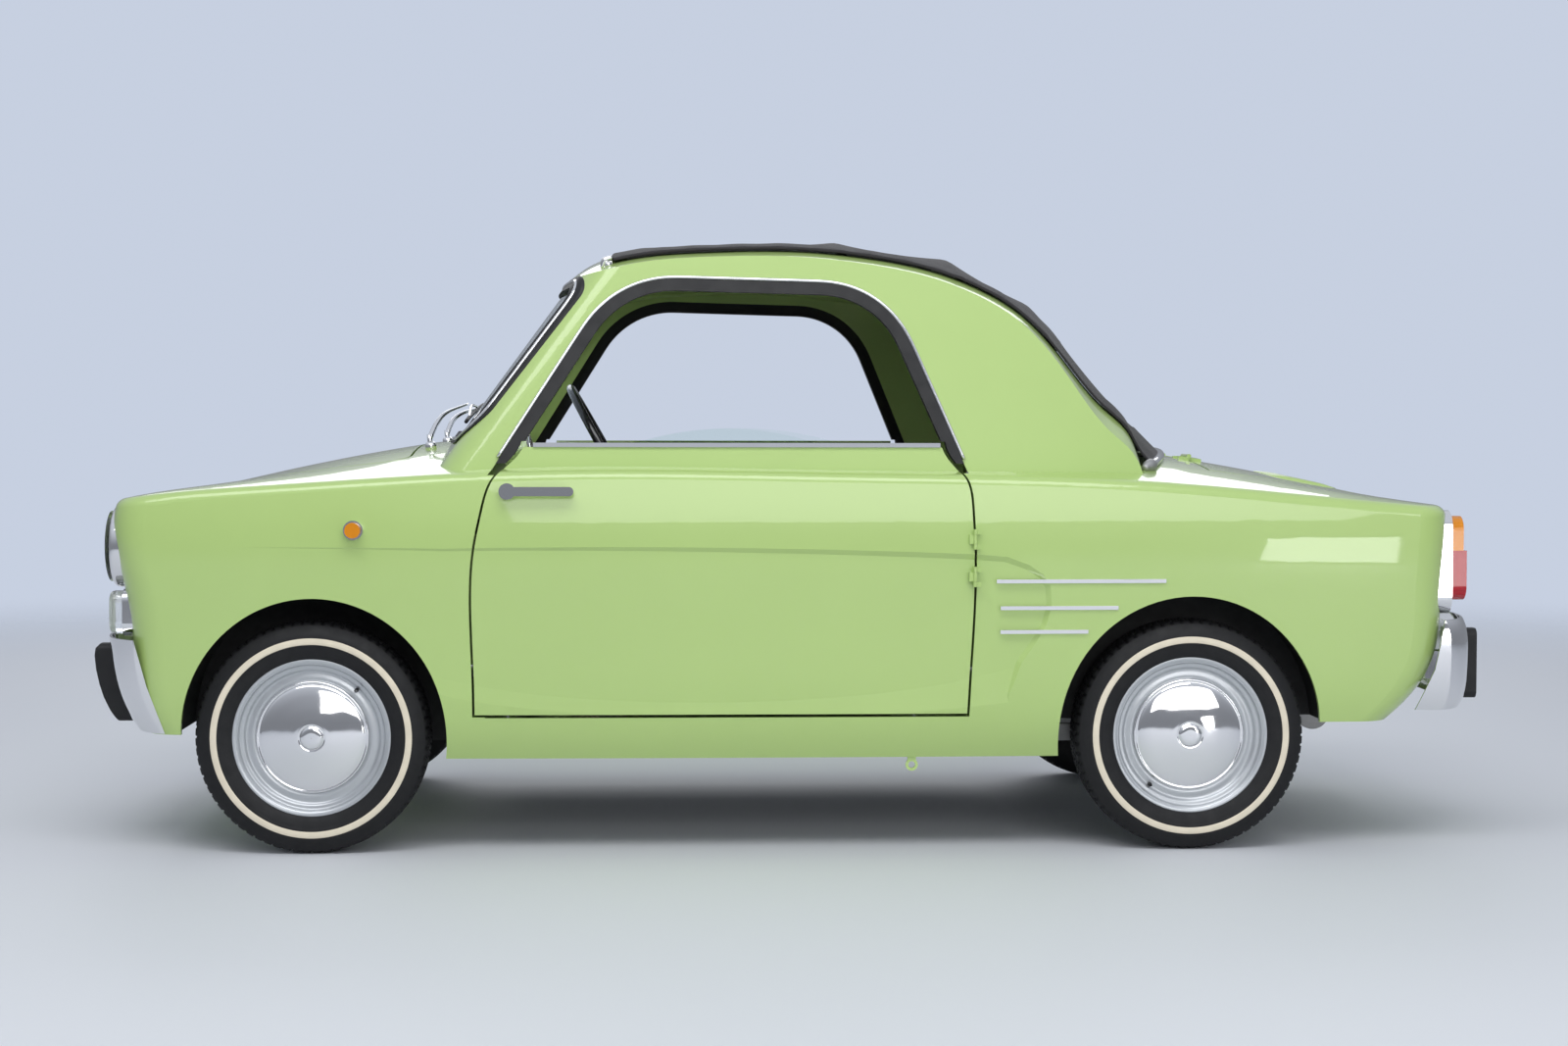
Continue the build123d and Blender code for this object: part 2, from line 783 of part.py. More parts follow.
def make_windscreen():
    """Curved laminated screen."""
    return band(screen_column(SEAL_WIDTH), cabin_top(6), cabin_top(6 + GLASS))


def make_hood():
    """Cloth roof, lying on the rails and falling to the rear deck, and its rear window."""
    space = block(-900, HOOD_FRONT_X, -HOOD_HALF, HOOD_HALF, 700, 1400)
    cloth = keep(shell(cabin_top(-HOOD_THICKNESS - SEAT_GAP), cabin_top(-SEAT_GAP)), space)
    cloth = cut(cloth, lower_body(-SEAT_GAP))
    with BuildPart() as pane:
        with BuildSketch(Plane.YZ.offset(-1000)):
            with Locations((0, REAR_WINDOW_Z)):
                RectangleRounded(REAR_WINDOW_WIDTH, REAR_WINDOW_HEIGHT, 45)
        extrude(amount=600)
    return cut(cloth, pane.part), keep(cloth, pane.part)


def make_hood_bows():
    """Flat bows that hold the cloth up between the rails."""
    half = ROOF_OPENING_HALF
    bars = [block(x - 9, x + 9, -half, half, 900, 1400) for x in BOW_X]
    return band(fuse(*bars), cabin_top(BOW_GAP), cabin_top(BOW_GAP + BOW_DEPTH))


# ---------------------------------------------------------------- doors


def door_hinge_fixed():
    """Pins, outer barrels and plates of the two door hinges, on the rear quarter."""
    x = DOOR_HINGE_X
    y = DOOR_HINGE_Y
    pieces = []
    for z in DOOR_HINGE_Z:
        low = z - DOOR_HINGE_HALF
        high = z + DOOR_HINGE_HALF
        pieces.append(cylinder_z(DOOR_HINGE_PIN, x, y, low, high))
        for z_low, z_high in ((low, low + 11), (high - 11, high)):
            pieces.append(cylinder_z(DOOR_HINGE_BARREL, x, y, z_low, z_high))
            leaf_x = x - DOOR_HINGE_SET_BACK
            pieces.append(block(x - DOOR_HINGE_LEAF, leaf_x, y - DOOR_HINGE_DEPTH, y, z_low, z_high))
    return fuse(*pieces)


def door_hinge_moving():
    """Middle barrels and plates of the two door hinges, on the door."""
    x = DOOR_HINGE_X
    y = DOOR_HINGE_Y
    pieces = []
    for z in DOOR_HINGE_Z:
        z_low = z - DOOR_HINGE_HALF + 11 + RUNNING_FIT
        z_high = z + DOOR_HINGE_HALF - 11 - RUNNING_FIT
        pieces.append(cylinder_z(DOOR_HINGE_BARREL, x, y, z_low, z_high))
        pieces.append(block(x, x + DOOR_HINGE_LEAF, y - DOOR_HINGE_DEPTH, y, z_low, z_high))
    bore = cylinder_z(DOOR_HINGE_PIN + HINGE_PLAY, x, y, 300, 800)
    return cut(fuse(*pieces), bore)


def make_door(thick, recess):
    """Door shell with the slot that the glass drops into, and its half of the hinges."""
    door = keep(thick, prism(door_outline(PANEL_GAP), 300, 900))
    door = keep(door, block(-700, 900, 300, 900, 0, BELT_Z))
    slot = block(DOOR_GLASS_X[0] - 8, DOOR_GLASS_X[1] + 8, 300, 900, BELT_Z - 32, 900)
    door = cut(door, band(slot, cabin_top(19), cabin_top(19 + GLASS + 6)))
    return fuse(cut(door, recess), door_hinge_moving())


def make_door_glass():
    """Top of the wound-down door glass."""
    rear_x, front_x = DOOR_GLASS_X
    with BuildSketch(Plane.XZ) as outline:
        with BuildLine():
            Polyline((front_x, BELT_Z + 4), (front_x, BELT_Z - 32), (rear_x, BELT_Z - 32), (rear_x, BELT_Z + 4))
            ThreePointArc((rear_x, BELT_Z + 4), ((front_x + rear_x) / 2, BELT_Z + 40), (front_x, BELT_Z + 4))
        make_face()
    return band(prism(outline.sketch, 300, 900), cabin_top(22), cabin_top(22 + GLASS))


def make_door_trim():
    """Bright strip along the belt, and the pull handle at the front of the rear-hinged door."""
    strip = band(block(-296, 556, 300, 900, BELT_Z, BELT_Z + 9), cabin_top(-5), cabin_top(10))
    x, z = HANDLE_PLACE
    with BuildPart() as grip:
        with BuildSketch(Plane.XZ.offset(-600)):
            with Locations((x, z)):
                Circle(17)
        extrude(amount=-76)
        with BuildSketch(Plane.XZ.offset(-672)):
            with Locations((x - 62, z)):
                SlotOverall(150, 19)
        extrude(amount=-14)
        with BuildSketch(Plane.XZ.offset(-600)):
            with Locations((x - 128, z)):
                Circle(8)
        extrude(amount=-76)
        add(lower_body(), mode=Mode.SUBTRACT)
    return fuse(strip, grip.part)


# ---------------------------------------------------------------- floor and bulkheads


def mirrored(part):
    """A part and its mirror image about the car's middle plane."""
    with BuildPart() as pair:
        add(part)
        mirror(about=Plane.XZ)
    return pair.part


def make_floor(lower_cabin, lower_in):
    """Floor pan with tunnel, heel board and the floor under the rear bench."""
    toe_x = FRONT_BULKHEAD_X - FLOOR_SHEET
    under_z = FLOOR_Z - FLOOR_SHEET
    step_x = ARCH_FRONT[0] - ARCH_FRONT[1] - 24
    pan = fuse(
        block(HEEL_X, step_x, -640, 640, under_z, FLOOR_Z),
        block(step_x, toe_x, 4 - WHEELHOUSE_FRONT_Y, WHEELHOUSE_FRONT_Y - 4, under_z, FLOOR_Z),
        block(HEEL_X, toe_x, -TUNNEL_HALF, TUNNEL_HALF, under_z, TUNNEL_TOP_Z),
    )
    pan = keep(pan, lower_cabin)
    inside = TUNNEL_HALF - FLOOR_SHEET
    pan = cut(pan, block(HEEL_X, toe_x, -inside, inside, 0, TUNNEL_TOP_Z - FLOOR_SHEET))
    step_up = fuse(
        block(HEEL_X - FLOOR_SHEET, HEEL_X, -700, 700, under_z, BENCH_FLOOR_Z),
        block(
            ARCH_REAR[0] + ARCH_REAR[1] + 19,
            HEEL_X,
            -700,
            700,
            BENCH_FLOOR_Z - FLOOR_SHEET,
            BENCH_FLOOR_Z,
        ),
        block(
            REAR_BULKHEAD_X,
            HEEL_X,
            4 - WHEELHOUSE_REAR_Y,
            WHEELHOUSE_REAR_Y - 4,
            BENCH_FLOOR_Z - FLOOR_SHEET,
            BENCH_FLOOR_Z,
        ),
    )
    tunnel_end = block(HEEL_X - 10, HEEL_X + 10, -inside, inside, 0, TUNNEL_TOP_Z - FLOOR_SHEET)
    step_up = cut(step_up, tunnel_end)
    return fuse(pan, keep(step_up, lower_in))


def make_front_bulkhead(lower_in):
    """Wall ahead of the footwells and the floor of the luggage space."""
    wall = block(FRONT_BULKHEAD_X - FLOOR_SHEET, FRONT_BULKHEAD_X, -700, 700, 200, 900)
    arch = prism(arch_outline(ARCH_FRONT, 18), WHEELHOUSE_FRONT_Y - 4, 700)
    wall = cut(wall, mirrored(arch))
    inner = WHEELHOUSE_FRONT_Y - 4
    tray_z = LUGGAGE_FLOOR_Z - FLOOR_SHEET
    tray = fuse(
        block(FRONT_BULKHEAD_X, 1500, -inner, inner, tray_z, LUGGAGE_FLOOR_Z),
        block(ARCH_FRONT[0] + ARCH_FRONT[1] + 19, 1500, -700, 700, tray_z, LUGGAGE_FLOOR_Z),
    )
    return keep(fuse(wall, tray), lower_in)


def make_rear_bulkhead(lower_in):
    """Wall between cabin and engine, with the shelf under the foot of the cloth roof."""
    x = REAR_BULKHEAD_X
    inner = WHEELHOUSE_REAR_Y - 4
    top_z = 776
    wall = fuse(
        block(x - FLOOR_SHEET, x, -inner, inner, BENCH_FLOOR_Z - FLOOR_SHEET, top_z),
        block(x - FLOOR_SHEET, x, -700, 700, 400, top_z),
        block(-886, x, -700, 700, top_z - FLOOR_SHEET, top_z),
        block(-886, -880, -700, 700, top_z - FLOOR_SHEET, 900),
    )
    arch = prism(arch_outline(ARCH_REAR, 18), WHEELHOUSE_REAR_Y - 4, 700)
    return keep(cut(wall, mirrored(arch)), lower_in)


# ---------------------------------------------------------------- cabin


def make_dashboard(inside):
    """Painted dash shelf under the screen, with a hooded dial over the column."""
    with BuildPart() as dash:
        with BuildSketch(Plane.XZ.offset(-530)):
            with BuildLine():
                Polyline((739, 700), (640, 690), (604, 712), (598, 770), (628, 836), (739, 848), close=True)
            make_face()
        extrude(amount=1060)
        add(inside, mode=Mode.INTERSECT)
    x, y, z = STEERING_WHEEL_CENTRE
    with BuildPart() as pod:
        with BuildSketch(Plane(origin=(x + 175, y, z + 15), x_dir=(0, 1, 0), z_dir=(-1, 0, 0.35))):
            Circle(58)
        extrude(amount=-90)
    return cut(fuse(dash.part, pod.part), steering_column_solid(SEAT_GAP))


def steering_plane():
    """Plane of the steering wheel, its Z axis up the column towards the driver."""
    return Plane(
        origin=STEERING_WHEEL_CENTRE,
        x_dir=Vector(0, 0, 1).rotate(Axis.Y, STEERING_RAKE),
        z_dir=Vector(-1, 0, 0).rotate(Axis.Y, STEERING_RAKE),
    )


def steering_column_solid(extra=0):
    """Column tube from the steering wheel's hub down to the bulkhead."""
    with BuildPart() as column:
        with BuildSketch(steering_plane().offset(-22)):
            Circle(20 + extra)
        extrude(amount=-COLUMN_LENGTH)
    return column.part


def make_steering_column():
    """Column tube cut off at the bulkhead, and the spindle that the steering wheel turns on."""
    with BuildPart() as column:
        add(steering_column_solid())
        with BuildSketch(steering_plane().offset(-22)):
            Circle(9)
        extrude(amount=24)
        add(block(FRONT_BULKHEAD_X - FLOOR_SHEET, 1200, 0, 600, 0, 900), mode=Mode.SUBTRACT)
    return column.part


def make_steering_wheel():
    """Rim, two spokes and a hub with a plain button."""
    plane = steering_plane()
    rim = 9
    reach = STEERING_WHEEL_RADIUS - rim
    with BuildPart() as wheel:
        with BuildSketch(Plane(origin=plane.origin, x_dir=plane.x_dir, z_dir=plane.y_dir)):
            with Locations((reach, 0)):
                Circle(rim)
        revolve(axis=Axis(plane.origin, plane.z_dir))
        with BuildSketch(plane.offset(-16)):
            Circle(34)
        extrude(amount=26)
        with BuildSketch(plane.offset(-4)):
            with Locations((-12, 0)):
                Rectangle(22, 2 * reach)
        extrude(amount=7)
        with BuildSketch(plane.offset(-30)):
            Circle(9 + RUNNING_FIT)
        extrude(amount=34, mode=Mode.SUBTRACT)
    return wheel.part


def cushion(x_low, x_high, y_low, y_high, z_low, z_high, radius=30):
    """A plain rounded pad."""
    with BuildPart() as pad:
        add(block(x_low, x_high, y_low, y_high, z_low, z_high))
        fillet(pad.edges(), radius)
    return pad.part


def leaned(part, x, z, angle):
    """A part turned about a crosswise line."""
    return part.rotate(Axis((x, 0, z), (0, 1, 0)), angle)


def make_seat_frames():
    """Low steel boxes under the front seats, bolted to the floor."""
    y_low = SEAT_Y - SEAT_WIDTH / 2 + 40
    y_high = SEAT_Y + SEAT_WIDTH / 2 - 30
    with BuildPart() as frame:
        add(block(-30, 330, y_low, y_high, FLOOR_Z, CUSHION_TOP_Z - 130 - SEAT_GAP))
        add(block(-10, 310, y_low + 20, y_high - 20, 0, 900), mode=Mode.SUBTRACT)
        add(block(40, 260, y_low - 1, y_high + 1, FLOOR_Z + 30, 305), mode=Mode.SUBTRACT)
        mirror(about=Plane.XZ)
    return frame.part


def make_front_seats():
    """Cushion and leaning back of each front seat."""
    y_low = SEAT_Y - SEAT_WIDTH / 2
    y_high = SEAT_Y + SEAT_WIDTH / 2
    base = cushion(-60, 380, y_low, y_high, CUSHION_TOP_Z - 130, CUSHION_TOP_Z)
    back = cushion(-152, -62, y_low, y_high, CUSHION_TOP_Z - 110, BACK_TOP_Z - 6)
    back = leaned(back, -70, CUSHION_TOP_Z - 110, -14)
    return mirrored(fuse(base, cut(back, base)))


def make_rear_bench():
    """Small bench between the wheelhouses."""
    seat = cushion(-668, -484, -440, 440, BENCH_FLOOR_Z + SEAT_GAP, BENCH_FLOOR_Z + 105, 26)
    back = cushion(-696, -640, -440, 440, BENCH_FLOOR_Z + 110, 768, 24)
    return fuse(seat, back)


# ---------------------------------------------------------------- running gear


def wheel_section(points):
    """Revolve an outline of (distance along the axle, radius) points about the axle."""
    with BuildPart() as ring:
        with BuildSketch(Plane.YZ):
            with BuildLine():
                Polyline(*points, close=True)
            make_face()
        revolve(axis=Axis.Y)
    return ring.part


def make_tyre():
    """Tyre round the axle line at the origin, its outer side towards +Y."""
    half = TYRE_WIDTH / 2
    seat = RIM_WIDTH / 2 - 2.5
    with BuildPart() as tyre:
        with BuildSketch(Plane.YZ):
            with BuildLine():
                Line((-seat, BARREL_RADIUS + SEAT_GAP), (seat, BARREL_RADIUS + SEAT_GAP))
                Line((seat, BARREL_RADIUS + SEAT_GAP), (seat, RIM_RADIUS + 2))
                Spline(
                    (seat, RIM_RADIUS + 2),
                    (half, RIM_RADIUS + 38),
                    (half - 9, TYRE_RADIUS - 12),
                    (half - 24, TYRE_RADIUS),
                )
                Line((half - 24, TYRE_RADIUS), (24 - half, TYRE_RADIUS))
                Spline(
                    (24 - half, TYRE_RADIUS),
                    (9 - half, TYRE_RADIUS - 12),
                    (-half, RIM_RADIUS + 38),
                    (-seat, RIM_RADIUS + 2),
                )
                Line((-seat, RIM_RADIUS + 2), (-seat, BARREL_RADIUS + SEAT_GAP))
            make_face()
        revolve(axis=Axis.Y)
    return tyre.part


def make_rim():
    """Pressed rim, wheel disc, domed cap and brake drum, turning together."""
    edge = RIM_WIDTH / 2
    face = DISC_OFFSET + 16
    bore = SPINDLE_RADIUS + RUNNING_FIT
    barrel = [
        (edge, RIM_RADIUS),
        (edge - 2.2, RIM_RADIUS),
        (edge - 2.2, BARREL_RADIUS),
        (2.2 - edge, BARREL_RADIUS),
        (2.2 - edge, RIM_RADIUS),
        (-edge, RIM_RADIUS),
        (-edge, BARREL_RADIUS - RIM_SHEET),
        (edge - 6, BARREL_RADIUS - RIM_SHEET),
        (edge, BARREL_RADIUS + 2),
    ]
    disc = [
        (8, BARREL_RADIUS - RIM_SHEET),
        (14, BARREL_RADIUS - RIM_SHEET),
        (24, 128),
        (face, 121),
        (face, bore),
        (face - 4, bore),
        (face - 4, 118),
        (19, 126),
    ]
    hub_top = face - 4
    drum_inner = DRUM_INNER
    drum = [
        (hub_top, bore),
        (hub_top, 32),
        (drum_inner + DRUM_DEPTH, 32),
        (drum_inner + DRUM_DEPTH, DRUM_RADIUS),
        (drum_inner, DRUM_RADIUS),
        (drum_inner, DRUM_RADIUS - 6),
        (drum_inner + DRUM_DEPTH - 5, DRUM_RADIUS - 6),
        (drum_inner + DRUM_DEPTH - 5, bore),
    ]
    with BuildPart() as cap:
        with BuildSketch(Plane.YZ):
            with BuildLine():
                Line((face, 0), (face, CAP_RADIUS))
                Line((face, CAP_RADIUS), (face + 4, CAP_RADIUS))
                Spline((face + 4, CAP_RADIUS), (face + 12, 92), (face + CAP_DEPTH, 24))
                Line((face + CAP_DEPTH, 24), (face + CAP_DEPTH + 5, 21))
                Spline((face + CAP_DEPTH + 5, 21), (face + CAP_DEPTH + 8, 12), (face + CAP_DEPTH + 9, 0))
                Line((face + CAP_DEPTH + 9, 0), (face, 0))
            make_face()
        revolve(axis=Axis.Y)
    return fuse(wheel_section(barrel), wheel_section(disc), wheel_section(drum), cap.part)


def place_wheel(part, axle_x, track, side):
    """Move a wheel piece from the origin to its hub; the right-hand ones are mirrored."""
    with BuildPart() as placed:
        add(part.moved(Location((axle_x, track / 2, HUB_Z))))
        if side < 0:
            mirror(about=Plane.XZ, mode=Mode.REPLACE)
    return placed.part


def cylinder_y(radius, x, z, y_low, y_high):
    """Round bar that lies across the car."""
    with BuildPart() as bar:
        with BuildSketch(Plane.XZ.offset(-y_low)):
            with Locations((x, z)):
                Circle(radius)
        extrude(amount=y_low - y_high)
    return bar.part


def cylinder_z(radius, x, y, z_low, z_high):
    """Upright round bar."""
    with BuildPart() as bar:
        with BuildSketch(Plane.XY.offset(z_low)):
            with Locations((x, y)):
                Circle(radius)
        extrude(amount=z_high - z_low)
    return bar.part


def make_knuckle():
    """Left front knuckle: sleeve on the kingpin, spindle, backplate and steering arm."""
    x = FRONT_AXLE_X
    low = HUB_Z - KNUCKLE_HEIGHT / 2
    plate_y = TRACK_FRONT / 2 + DRUM_INNER - 9
    body = fuse(
        cylinder_z(KNUCKLE_RADIUS, x, KINGPIN_Y, low, low + KNUCKLE_HEIGHT),
        cylinder_y(SPINDLE_RADIUS + 6, x, HUB_Z, KINGPIN_Y, plate_y + 3),
        cylinder_y(SPINDLE_RADIUS, x, HUB_Z, KINGPIN_Y, TRACK_FRONT / 2 + DISC_OFFSET + 10),
        cylinder_y(DRUM_RADIUS + 3, x, HUB_Z, plate_y, plate_y + 3),
        block(x - 96, x, KINGPIN_Y - 9, KINGPIN_Y + 9, low + 6, low + 18),
    )
    return cut(body, cylinder_z(KINGPIN_RADIUS + RUNNING_FIT, x, KINGPIN_Y, 0, 500))


def make_front_suspension():
    """Cross leaf spring, upper arms and kingpins."""
    x = FRONT_AXLE_X
    low = HUB_Z - KNUCKLE_HEIGHT / 2
    high = HUB_Z + KNUCKLE_HEIGHT / 2
    clear = 3
    pin = cylinder_z(KINGPIN_RADIUS, x, KINGPIN_Y, low - clear - 14, high + clear + 14)
    spring_end = block(x - 20, x + 20, KINGPIN_Y - 34, KINGPIN_Y + 20, low - clear - 14, low - clear)
    with BuildPart() as spring:
        with BuildSketch(Plane.YZ.offset(x - 27)):
            with BuildLine():
                Spline((0, 168), (230, 172), (KINGPIN_Y - 30, low - clear - 14))
                Line((KINGPIN_Y - 30, low - clear - 14), (KINGPIN_Y - 30, low - clear))
                Spline((KINGPIN_Y - 30, low - clear), (230, 196), (0, 200))
                Line((0, 200), (0, 168))
            make_face()
        extrude(amount=54)
    mount = block(x - 60, x + 60, 0, 90, 200, LUGGAGE_FLOOR_Z - FLOOR_SHEET)
    arm_y = WHEELHOUSE_FRONT_Y - 60
    arm = block(x - 22, x + 22, arm_y, KINGPIN_Y + 20, high + clear, high + clear + 12)
    bracket = block(x - 40, x + 40, arm_y, arm_y + 30, high + clear - 10, LUGGAGE_FLOOR_Z - FLOOR_SHEET)
    return mirrored(fuse(pin, spring_end, spring.part, mount, arm, bracket))


def arm_slot():
    """Hole in the front wheelhouse's inner wall for the upper arm."""
    x = FRONT_AXLE_X
    z = HUB_Z + KNUCKLE_HEIGHT / 2
    return block(x - 50, x + 50, WHEELHOUSE_FRONT_Y - 20, WHEELHOUSE_FRONT_Y + 20, z - 30, z + 45)


def make_wheelhouses(lower_in):
    """Sheet tunnels over all four wheels."""
    front = make_wheelhouse(ARCH_FRONT, WHEELHOUSE_FRONT_Y, lower_in)
    rear = make_wheelhouse(ARCH_REAR, WHEELHOUSE_REAR_Y, lower_in)
    shaft = cylinder_y(46, REAR_AXLE_X, HUB_Z, WHEELHOUSE_REAR_Y - 20, WHEELHOUSE_REAR_Y + 20)
    arm = block(-870, -500, WHEELHOUSE_REAR_Y - 20, WHEELHOUSE_REAR_Y + 20, 180, 262)
    return mirrored(fuse(cut(front, arm_slot()), cut(rear, shaft, arm)))


def make_rear_suspension():
    """Trailing arms that carry the rear wheels' backplates, and their coil springs."""
    x = REAR_AXLE_X
    plate_y = TRACK_REAR / 2 + DRUM_INNER - 9
    arm = fuse(
        block(-560, -500, 300, 424, HUB_Z - 30, HUB_Z + 6),
        block(x - 30, -530, 436, 458, HUB_Z - 30, HUB_Z + 6),
        block(-566, -530, 300, 458, HUB_Z - 30, HUB_Z + 6),
        block(x - 30, x + 40, 436, plate_y, HUB_Z - 44, HUB_Z - 22),
        cylinder_y(DRUM_RADIUS + 3, x, HUB_Z, plate_y, plate_y + 3),
        block(-540, -500, 300, 330, HUB_Z - 30, BENCH_FLOOR_Z - FLOOR_SHEET),
    )
    return mirrored(cut(arm, cylinder_y(SPINDLE_RADIUS + 6, x, HUB_Z, 420, 700)))


def make_drivetrain():
    """Gearbox under the bench and the two drive shafts."""
    x = REAR_AXLE_X
    box = block(-1000, -712, -110, 110, 176, 330)
    nose = block(-712, -600, -70, 70, 190, 300)
    mount = block(-690, -650, -40, 40, 300, BENCH_FLOOR_Z - FLOOR_SHEET - SEAT_GAP)
    shaft = cylinder_y(SPINDLE_RADIUS, x, HUB_Z, 100, TRACK_REAR / 2 + DISC_OFFSET + 10)
    joint = cylinder_y(34, x, HUB_Z, 110, 160)
    return mirrored(fuse(box, nose, mount, shaft, joint))


def make_engine():
    """Air-cooled engine as one plain block behind the gearbox."""
    return fuse(block(-1262, -1000, -170, 190, 290, 640), block(-1250, -1030, -60, 60, 640, 690))


def make_silencer():
    """Cross silencer below the tail, with its outlet pipe."""
    body = cylinder_y(38, -1195, 242, -190, 190)
    pipe = cylinder_y(16, -1195, 242, -250, -190)
    strap = block(-1205, -1185, -60, 60, 270, 290)
    return fuse(body, pipe, strap)


# ---------------------------------------------------------------- bumpers, lamps, trim


def bumper_column(stations, sheet, sign):
    """Everything behind the bumper's bright face, moved in by the sheet's thickness."""
    with BuildPart() as column:
        for z, reach, half in stations:
            edge = half - sheet
            near = [(sign * (reach - sheet - back), edge * share) for share, back in BUMPER_PLAN]
            points = [(x, -y) for x, y in reversed(near[1:])] + near
            root = sign * BUMPER_ROOT
            with BuildSketch(Plane.XY.offset(z)):
                with BuildLine():
                    Spline(*points)
                    Polyline(points[-1], (root, edge), (root, -edge), points[0])
                make_face()
        loft()
    return column.part


def side_prism(points, half):
    """A side-view outline run right across the car."""
    with BuildPart() as bar:
        with BuildSketch(Plane.XZ):
            with BuildLine():
                Polyline(*points, close=True)
            make_face()
        extrude(amount=half, both=True)
    return bar.part


def make_bumper(stations, sign, end_cut, bracket_z):
    """Bright blade round one end of the car, on two brackets."""
    inner = bumper_column(stations, BUMPER_SHEET, sign)
    outer = bumper_column(stations, 0, sign)
    blade = cut(outer, inner, side_prism(end_cut, 800), body_column(-SEAT_GAP))
    x_low, x_high = sorted((sign * 1300, sign * 1500))
    bars = [block(x_low, x_high, y - 25, y + 25, bracket_z, bracket_z + 60) for y in (-OVERRIDER_Y, OVERRIDER_Y)]
    return fuse(blade, band(fuse(*bars), inner, body_column(0)))


def overrider_pad(x_low, x_high, z_low, z_high):
    """One upright pad with rounded edges."""
    with BuildPart() as pad:
        add(block(x_low, x_high, OVERRIDER_Y - 24, OVERRIDER_Y + 24, z_low, z_high))
        fillet(pad.edges().filter_by(Axis.X), 16)
    return pad.part


def make_overriders():
    """Rubber-faced overriders at both ends."""
    front = overrider_pad(1380, OVERALL_HALF, 256, 424)
    front = keep(front, side_prism(OVERRIDER_FRONT, 800))
    front = cut(front, bumper_column(FRONT_BUMPER, 0, 1))
    rear = cut(overrider_pad(-OVERALL_HALF, -1380, 296, 450), bumper_column(REAR_BUMPER, 0, -1))
    return fuse(mirrored(front), mirrored(rear))


def cylinder_x(radius, y, z, x_low, x_high):
    """Round bar that lies along the car."""
    with BuildPart() as bar:
        with BuildSketch(Plane.YZ.offset(x_low)):
            with Locations((y, z)):
                Circle(radius)
        extrude(amount=x_high - x_low)
    return bar.part


def tail_lamp(y_half, z_low, z_high, x_rear):
    """Upright rounded block on the tail, back to the given plane."""
    with BuildPart() as lamp:
        with BuildSketch(Plane.YZ.offset(x_rear)):
            with Locations((TAIL_LAMP_Y, (z_low + z_high) / 2)):
                SlotOverall(z_high - z_low, 2 * y_half, rotation=90)
        extrude(amount=200)
    return lamp.part


def small_lamp(y_half, z_low, z_high, x_front):
    """Upright rounded block on the nose, out to the given plane."""
    with BuildPart() as lamp:
        with BuildSketch(Plane.YZ.offset(1340)):
            with Locations((FOG_Y, (z_low + z_high) / 2)):
                RectangleRounded(2 * y_half, z_high - z_low, y_half * 0.8)
        extrude(amount=x_front - 1340)
    return lamp.part


def make_lamp_bezels(outside):
    """Bright rings and bases of every lamp, seated on the panels."""
    inner = LAMP_RING_RADIUS - LAMP_RING_WIDTH
    with BuildPart() as ring:
        with BuildSketch(Plane.XY.offset(LAMP_Z)):
            with BuildLine():
                Line((1380, LAMP_Y + LAMP_RING_RADIUS), (1416, LAMP_Y + LAMP_RING_RADIUS))
                Spline(
                    (1416, LAMP_Y + LAMP_RING_RADIUS),
                    (1431, LAMP_Y + LAMP_RING_RADIUS - 5),
                    (1433, LAMP_Y + inner),
                )
                Polyline(
                    (1433, LAMP_Y + inner),
                    (1380, LAMP_Y + inner),
                    (1380, LAMP_Y + LAMP_RING_RADIUS),
                )
            make_face()
        revolve(axis=Axis((0, LAMP_Y, LAMP_Z), (1, 0, 0)))
    small = small_lamp(34, 453, 551, 1408)
    tail = tail_lamp(38, 494, 715, TAIL_LAMP_X)
    side = cylinder_y(20, 921, 677, 600, 671)
    return mirrored(cut(fuse(ring.part, small, tail, side), outside))


def make_clear_lenses(outside):
    """Headlamp lenses and the small lamps below them."""
    edge = LAMP_Y + LAMP_RING_RADIUS - LAMP_RING_WIDTH - SEAT_GAP
    with BuildPart() as lens:
        with BuildSketch(Plane.XY.offset(LAMP_Z)):
            with BuildLine():
                Polyline((1426, edge), (1380, edge), (1380, LAMP_Y), (1439, LAMP_Y))
                ThreePointArc((1439, LAMP_Y), (1436, (LAMP_Y + edge) / 2), (1426, edge))
            make_face()
        revolve(axis=Axis((0, LAMP_Y, LAMP_Z), (1, 0, 0)))
    with BuildPart() as small:
        add(cut(small_lamp(30, 457, 547, 1437), small_lamp(40, 440, 560, 1408)))
        fillet(small.faces().sort_by(Axis.X)[-1].edges(), 9)
    return mirrored(fuse(cut(lens.part, outside), small.part))


def make_amber_lenses(outside):
    """Upper parts of the tail lamps and the side repeaters."""
    upper = keep(tail_lamp(30, 524, 703, -1414), block(-1600, TAIL_LAMP_X, 0, 900, 630, 800))
    side = cylinder_y(16, 921, 677, 671, 684)
    return mirrored(fuse(upper, cut(side, outside)))


def make_red_lenses():
    """Lower parts of the tail lamps."""
    return mirrored(keep(tail_lamp(30, 524, 703, -1421), block(-1600, TAIL_LAMP_X, 0, 900, 400, 630)))


def make_body_trim():
    """Three bright strips on each rear quarter."""
    strips = []
    for x_front, x_rear, z in ((-408, -765, 570), (-417, -665, 514), (-417, -602, 464)):
        strips.append(block(x_rear, x_front, 400, 900, z - 4, z + 4))
    return mirrored(band(fuse(*strips), lower_body(-4), lower_body()))


# ---------------------------------------------------------------- build and write

os.makedirs("parts", exist_ok=True)

lower = lower_body()
lower_in = lower_body(SKIN)
lower_cabin = lower_body(DOOR_THICKNESS)
outside = envelope(0, 0)
thin = shell(outside, envelope(SKIN, PILLAR_THICKNESS))
thick = shell(outside, envelope(DOOR_THICKNESS, PILLAR_THICKNESS))
wall = body_wall(thin, lower)
recess = recess_tool()

